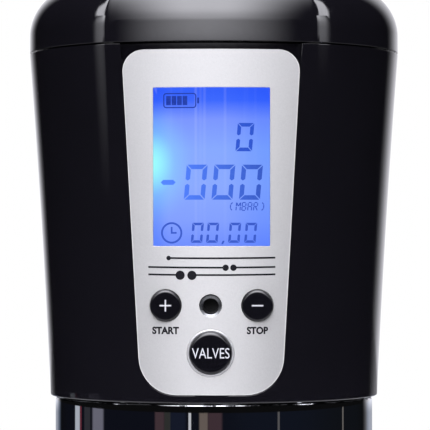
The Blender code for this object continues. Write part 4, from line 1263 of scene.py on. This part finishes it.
def make_valve_spring():
    """The plunger's spring, flat for half a turn at each end."""
    low, high = node_box("release_valve_spring")
    axis_x, axis_y = node_middle("release_valve_plunger").xy
    around, sides = 24, 8
    count = int(SPRING_TURNS * around)
    flat = 0.5 / SPRING_TURNS
    bm = bmesh.new()
    rings = []
    for i in range(count + 1):
        share = i / count
        turn = 2.0 * math.pi * SPRING_TURNS * share
        climb = min(max((share - flat) / (1.0 - 2.0 * flat), 0.0), 1.0)
        z = low.z + SPRING_WIRE + (high.z - low.z - 2.0 * SPRING_WIRE) * climb
        ring = []
        for k in range(sides):
            angle = 2.0 * math.pi * k / sides
            radius = SPRING_RADIUS + SPRING_WIRE * math.cos(angle)
            x, y = axis_x + radius * math.cos(turn), axis_y + radius * math.sin(turn)
            ring.append(bm.verts.new((x, y, z + SPRING_WIRE * math.sin(angle))))
        rings.append(ring)
    join_rings(bm, rings)
    bm.faces.new(rings[0])
    bm.faces.new(rings[-1])
    spring = add_object("valve_return_spring", bm, MATERIALS["steel"])
    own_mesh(spring)
    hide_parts("release_valve_spring")


def make_ring_and_socket():
    centre, _ = button_place("valve_button")
    inner = RING_R[0] - RING_OVERLAP
    outer = RING_R[1] + HOLE_GAP - RING_GAP
    proud, depth = 0.10, 1.2
    profile = fillet([(inner, -depth), (outer, -depth), (outer, proud), (inner, proud)], {2: 0.14, 3: 0.14})
    bm = turned_in_front(profile, centre, closed_loop=True)
    ring = steady_shading(add_object("valve_trim_ring", bm, MATERIALS["bright_trim"]))
    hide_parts("valve_button_ring")

    middle = node_middle("charge_socket_sleeve")
    x, z = middle.x, middle.z - SOCKET_DROP
    place = Vector((x, front_y(x, z), z))
    profile = fillet([
        (SOCKET_BORE_R, -4.5), (SOCKET_SLEEVE_R, -4.5), (SOCKET_SLEEVE_R, -SOCKET_RECESS),
        (SOCKET_SLEEVE_R - 0.12, -SOCKET_RECESS), (SOCKET_BORE_R + 0.06, -SOCKET_RECESS - 0.26),
        (SOCKET_BORE_R, -SOCKET_RECESS - 0.40),
    ], {2: 0.05})
    bm = turned_in_front(profile, place, closed_loop=True)
    sleeve = steady_shading(add_object("charge_socket_barrel", bm, MATERIALS["socket_metal"]))
    sleeve.data.materials.append(MATERIALS["button_black"])
    for polygon in sleeve.data.polygons:
        if (polygon.center / MM - place).xz.length < SOCKET_BORE_R + 0.05:
            polygon.material_index = 1
    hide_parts("charge_socket_sleeve")


# ---------------------------------------------------------------- carried-over nodes

def finish_cad_nodes():
    """Each CAD node that still shows takes the finish of its slot in the record."""
    slots = {part["node"]: part["material_slot"] for part in frame["record"]["subparts"]}
    for name, obj in frame["nodes"].items():
        for held in obj.material_slots:
            held.material = MATERIALS.get(slots.get(name), MATERIALS["inner_plastic"])


# ---------------------------------------------------------------- light, floor and camera

CAMERA_DISTANCE = 575.0
CAMERA_AZIMUTH = math.radians(1.10)
CAMERA_PAN = math.radians(0.024)
CAMERA_HEIGHT = 52.1
CAMERA_TILT = math.radians(0.778)
CAMERA_LENS = 215.7

LIGHT_TINT = (0.985, 0.980, 1.050)

# A ring of slim lights for the chrome to reflect: azimuth, half width and colour of each, in degrees
STREAK_RING_R = 80.0
STREAK_RING_Z = (-14.0, 15.2)
CHROME_STREAKS = (
    (-30.0, 110.0, (0.0005, 0.0012, 0.0050)),
    (75.0, 60.0, (0.0012, 0.0022, 0.0042)),
    (-114.7, 3.2, (0.400, 0.430, 0.480)),
    (-110.1, 1.1, (0.110, 0.014, 0.022)),
    (-90.2, 5.6, (0.135, 0.132, 0.165)),
    (-102.0, 3.5, (0.022, 0.022, 0.024)),
    (-37.4, 3.4, (0.050, 0.028, 0.030)),
    (-31.6, 2.2, (0.024, 0.024, 0.018)),
    (-24.0, 5.5, (0.004, 0.006, 0.013)),
    (-15.5, 0.9, (0.520, 0.520, 0.540)),
    (-5.9, 2.9, (0.128, 0.100, 0.082)),
    (2.1, 4.9, (0.046, 0.025, 0.027)),
    (48.0, 0.8, (0.085, 0.080, 0.076)),
    (107.3, 0.8, (0.130, 0.118, 0.106)),
    (-158.0, 1.5, (0.030, 0.030, 0.034)),
    (-164.0, 16.0, (0.014, 0.036, 0.074)),
    (164.0, 16.0, (0.014, 0.036, 0.074)),
)


def make_world():
    world = bpy.data.worlds.new("studio")
    bpy.context.scene.world = world
    world.use_nodes = True
    g = Graph(world.node_tree)
    x, y, z = g.separate(g.node("ShaderNodeTexCoord").outputs["Generated"])
    azimuth = g.azimuth(x, y)
    elevation = g.times(g.math("ARCSINE", z), 180.0 / math.pi)

    # overhead box, reaching down towards the front
    forward = g.step(y, 0.25, -0.05)
    front = g.times(g.window(x, -0.05, 0.09, 0.54), forward)
    high = g.step(elevation, 55.0, 80.0)
    overhead = g.times(g.step(elevation, 2.5, 15.0), g.math("MAXIMUM", front, high))
    level = g.times(overhead, g.step(elevation, 17.0, 40.0, 7.4, 11.5))

    # side boxes
    aside = g.math("MAXIMUM", g.math("ABSOLUTE", x), 0.001)
    ahead = g.math("DIVIDE", g.times(y, -1.0), aside)
    rise = g.math("DIVIDE", z, aside)
    sides = g.window(g.math("ADD", ahead, g.times(rise, 0.40)), 0.41, 0.042, 0.050)
    tall = g.times(g.step(rise, 0.04, 0.16), g.step(rise, 1.3, 1.8, 1.0, 0.0))
    level = g.math("ADD", level, g.times(sides, tall, 8.2))

    # pale backdrop behind the object, the pale table below, and a little light all round
    behind = g.math("MAXIMUM", g.step(azimuth, 137.0, 160.0), g.step(azimuth, -144.0, -166.0))
    dim = g.times(g.step(elevation, -3.6, -3.15, 1.0, 0.0), g.step(elevation, -30.0, -16.0))
    behind = g.times(behind, g.math("SUBTRACT", 0.95, g.times(dim, 0.60)))
    for more in (behind, g.step(elevation, -40.0, -14.0, 0.95, 0.0), 0.004):
        level = g.math("ADD", level, more)

    white = g.shader("ShaderNodeBackground", Color=(1.0, 1.0, 1.0))
    studio = g.shader("ShaderNodeBackground", Color=g.mix(1.0, LIGHT_TINT, level, "MULTIPLY"))
    seen = g.node("ShaderNodeLightPath").outputs["Is Camera Ray"]
    g.finish(g.either(seen, studio, white), "ShaderNodeOutputWorld")


def ring_azimuth(azimuth):
    """Where light that leaves the collar towards an azimuth crosses the streak ring."""
    out = math.radians(azimuth)
    across, ahead = COLLAR_HIGH.x * math.sin(out / 2.0), COLLAR_HIGH.x * math.cos(out / 2.0)
    along = math.sqrt(STREAK_RING_R ** 2 - across ** 2) - ahead
    return math.degrees(math.atan2(across + along * math.sin(out), ahead + along * math.cos(out)))


def make_streak_ring():
    """A low ring about the collar, clear but for the slim bands of light that the chrome shows."""
    made, g = new_material("streak_light")
    x, y, _ = g.separate(g.coordinates())
    azimuth = g.azimuth(x, y)
    total = (0.0, 0.0, 0.0)
    for centre, half, colour in CHROME_STREAKS:
        start, end = ring_azimuth(centre - half), ring_azimuth(centre + half)
        width = (end - start) / 2.0
        share = g.window(azimuth, (start + end) / 2.0, width * 0.75, width * 0.5)
        total = g.mix(share, total, colour, "ADD")
    light = g.shader("ShaderNodeEmission", Color=total)
    both = g.node("ShaderNodeAddShader", {0: light, 1: g.shader("ShaderNodeBsdfTransparent")})
    g.finish(both.outputs[0])
    ring = add_object("streak_ring", turned([(STREAK_RING_R, z) for z in STREAK_RING_Z], 128), made, None)
    ring.visible_camera = False
    ring.visible_shadow = False
    ring.visible_diffuse = False


def make_card(name, azimuth, distance, width, low, high, level, fade, lift):
    """A soft box, brightest along its middle, in degrees and millimetres.

    It fades in above its lower edge over the share fade, and is lift times as bright at its upper edge.
    """
    bm = bmesh.new()
    corners = rectangle(0.0, (low + high) / 2.0, width / 2.0, (high - low) / 2.0)
    bm.faces.new([bm.verts.new((x, -distance, z)) for x, z in corners])
    turn_about(bm, math.radians(azimuth), "Z")
    made, g = new_material(f"{name}_light")
    along, _, up = g.separate(g.node("ShaderNodeTexCoord").outputs["Generated"])
    centred = g.math("ABSOLUTE", g.math("SUBTRACT", along, 0.5))
    shape = g.times(g.step(up, 0.0, fade), g.step(centred, 0.0, 0.5, 1.0, 0.0))
    strength = g.times(shape, g.step(up, 0.5, 1.0, 1.0, lift), level)
    g.finish(g.shader("ShaderNodeEmission", Color=LIGHT_TINT, Strength=strength))
    card = add_object(name, bm, made, None)
    card.visible_camera = False
    card.visible_shadow = False


def make_floor():
    """A pale table that melts into the white background away from the object, and is clear from below."""
    made, g = new_material("pale_table")
    where = g.node("ShaderNodeTexCoord").outputs["Object"]
    length = g.node("ShaderNodeVectorMath", {0: where}, operation="LENGTH").outputs["Value"]
    tone = g.mix(g.noise(where, 400.0, 2.0), (0.80, 0.80, 0.81), (0.84, 0.84, 0.85))
    table = g.shader("ShaderNodeBsdfPrincipled", Base_Color=tone, Roughness=0.7)
    melted = g.either(g.step(length, 0.075, 0.165), table, g.shader("ShaderNodeEmission"))
    below = g.node("ShaderNodeNewGeometry").outputs["Backfacing"]
    g.finish(g.either(below, melted, g.shader("ShaderNodeBsdfTransparent")))
    floor = add_object("table", turned([(r, -0.05) for r in (0.0, 100.0, 300.0, 2500.0)], 64), made, None)
    if floor.data.polygons[0].normal.z < 0.0:
        floor.data.flip_normals()
    floor.visible_glossy = False


def make_camera():
    data = bpy.data.cameras.new("camera")
    data.lens = CAMERA_LENS
    data.sensor_width = 36.0
    data.clip_start = 0.01
    data.clip_end = 20.0
    camera = bpy.data.objects.new("camera", data)
    bpy.context.scene.collection.objects.link(camera)
    camera.location = (
        CAMERA_DISTANCE * math.sin(CAMERA_AZIMUTH) * MM,
        -CAMERA_DISTANCE * math.cos(CAMERA_AZIMUTH) * MM,
        CAMERA_HEIGHT * MM)
    camera.rotation_euler = (math.pi / 2.0 + CAMERA_TILT, 0.0, CAMERA_AZIMUTH - CAMERA_PAN)
    bpy.context.scene.camera = camera


# ---------------------------------------------------------------- build

make_housing()
make_cap()
make_plate()
make_screen()
make_collar()
for node, name, body in (
    ("start_button", "start_push_button", "start_key"), ("stop_button", "stop_push_button", "stop_key"),
    ("valve_button", "valve_push_button", "valve_key"),
):
    make_button(node, name, body)
make_ring_and_socket()
make_valve_spring()
make_display_artwork()
make_printing()
make_button_marks()
finish_cad_nodes()

make_world()
make_card("front_card", -3.0, 1000.0, 1500.0, 115.0, 423.0, 4.6, 0.25, 1.6)
make_card("left_card", -69.0, 420.0, 100.0, 24.0, 260.0, 3.4, 0.72, 2.4)
make_card("right_card", 68.0, 420.0, 100.0, 62.0, 260.0, 3.6, 0.60, 2.3)
make_streak_ring()
make_floor()
make_camera()
bpy.context.scene.view_settings.view_transform = "Standard"
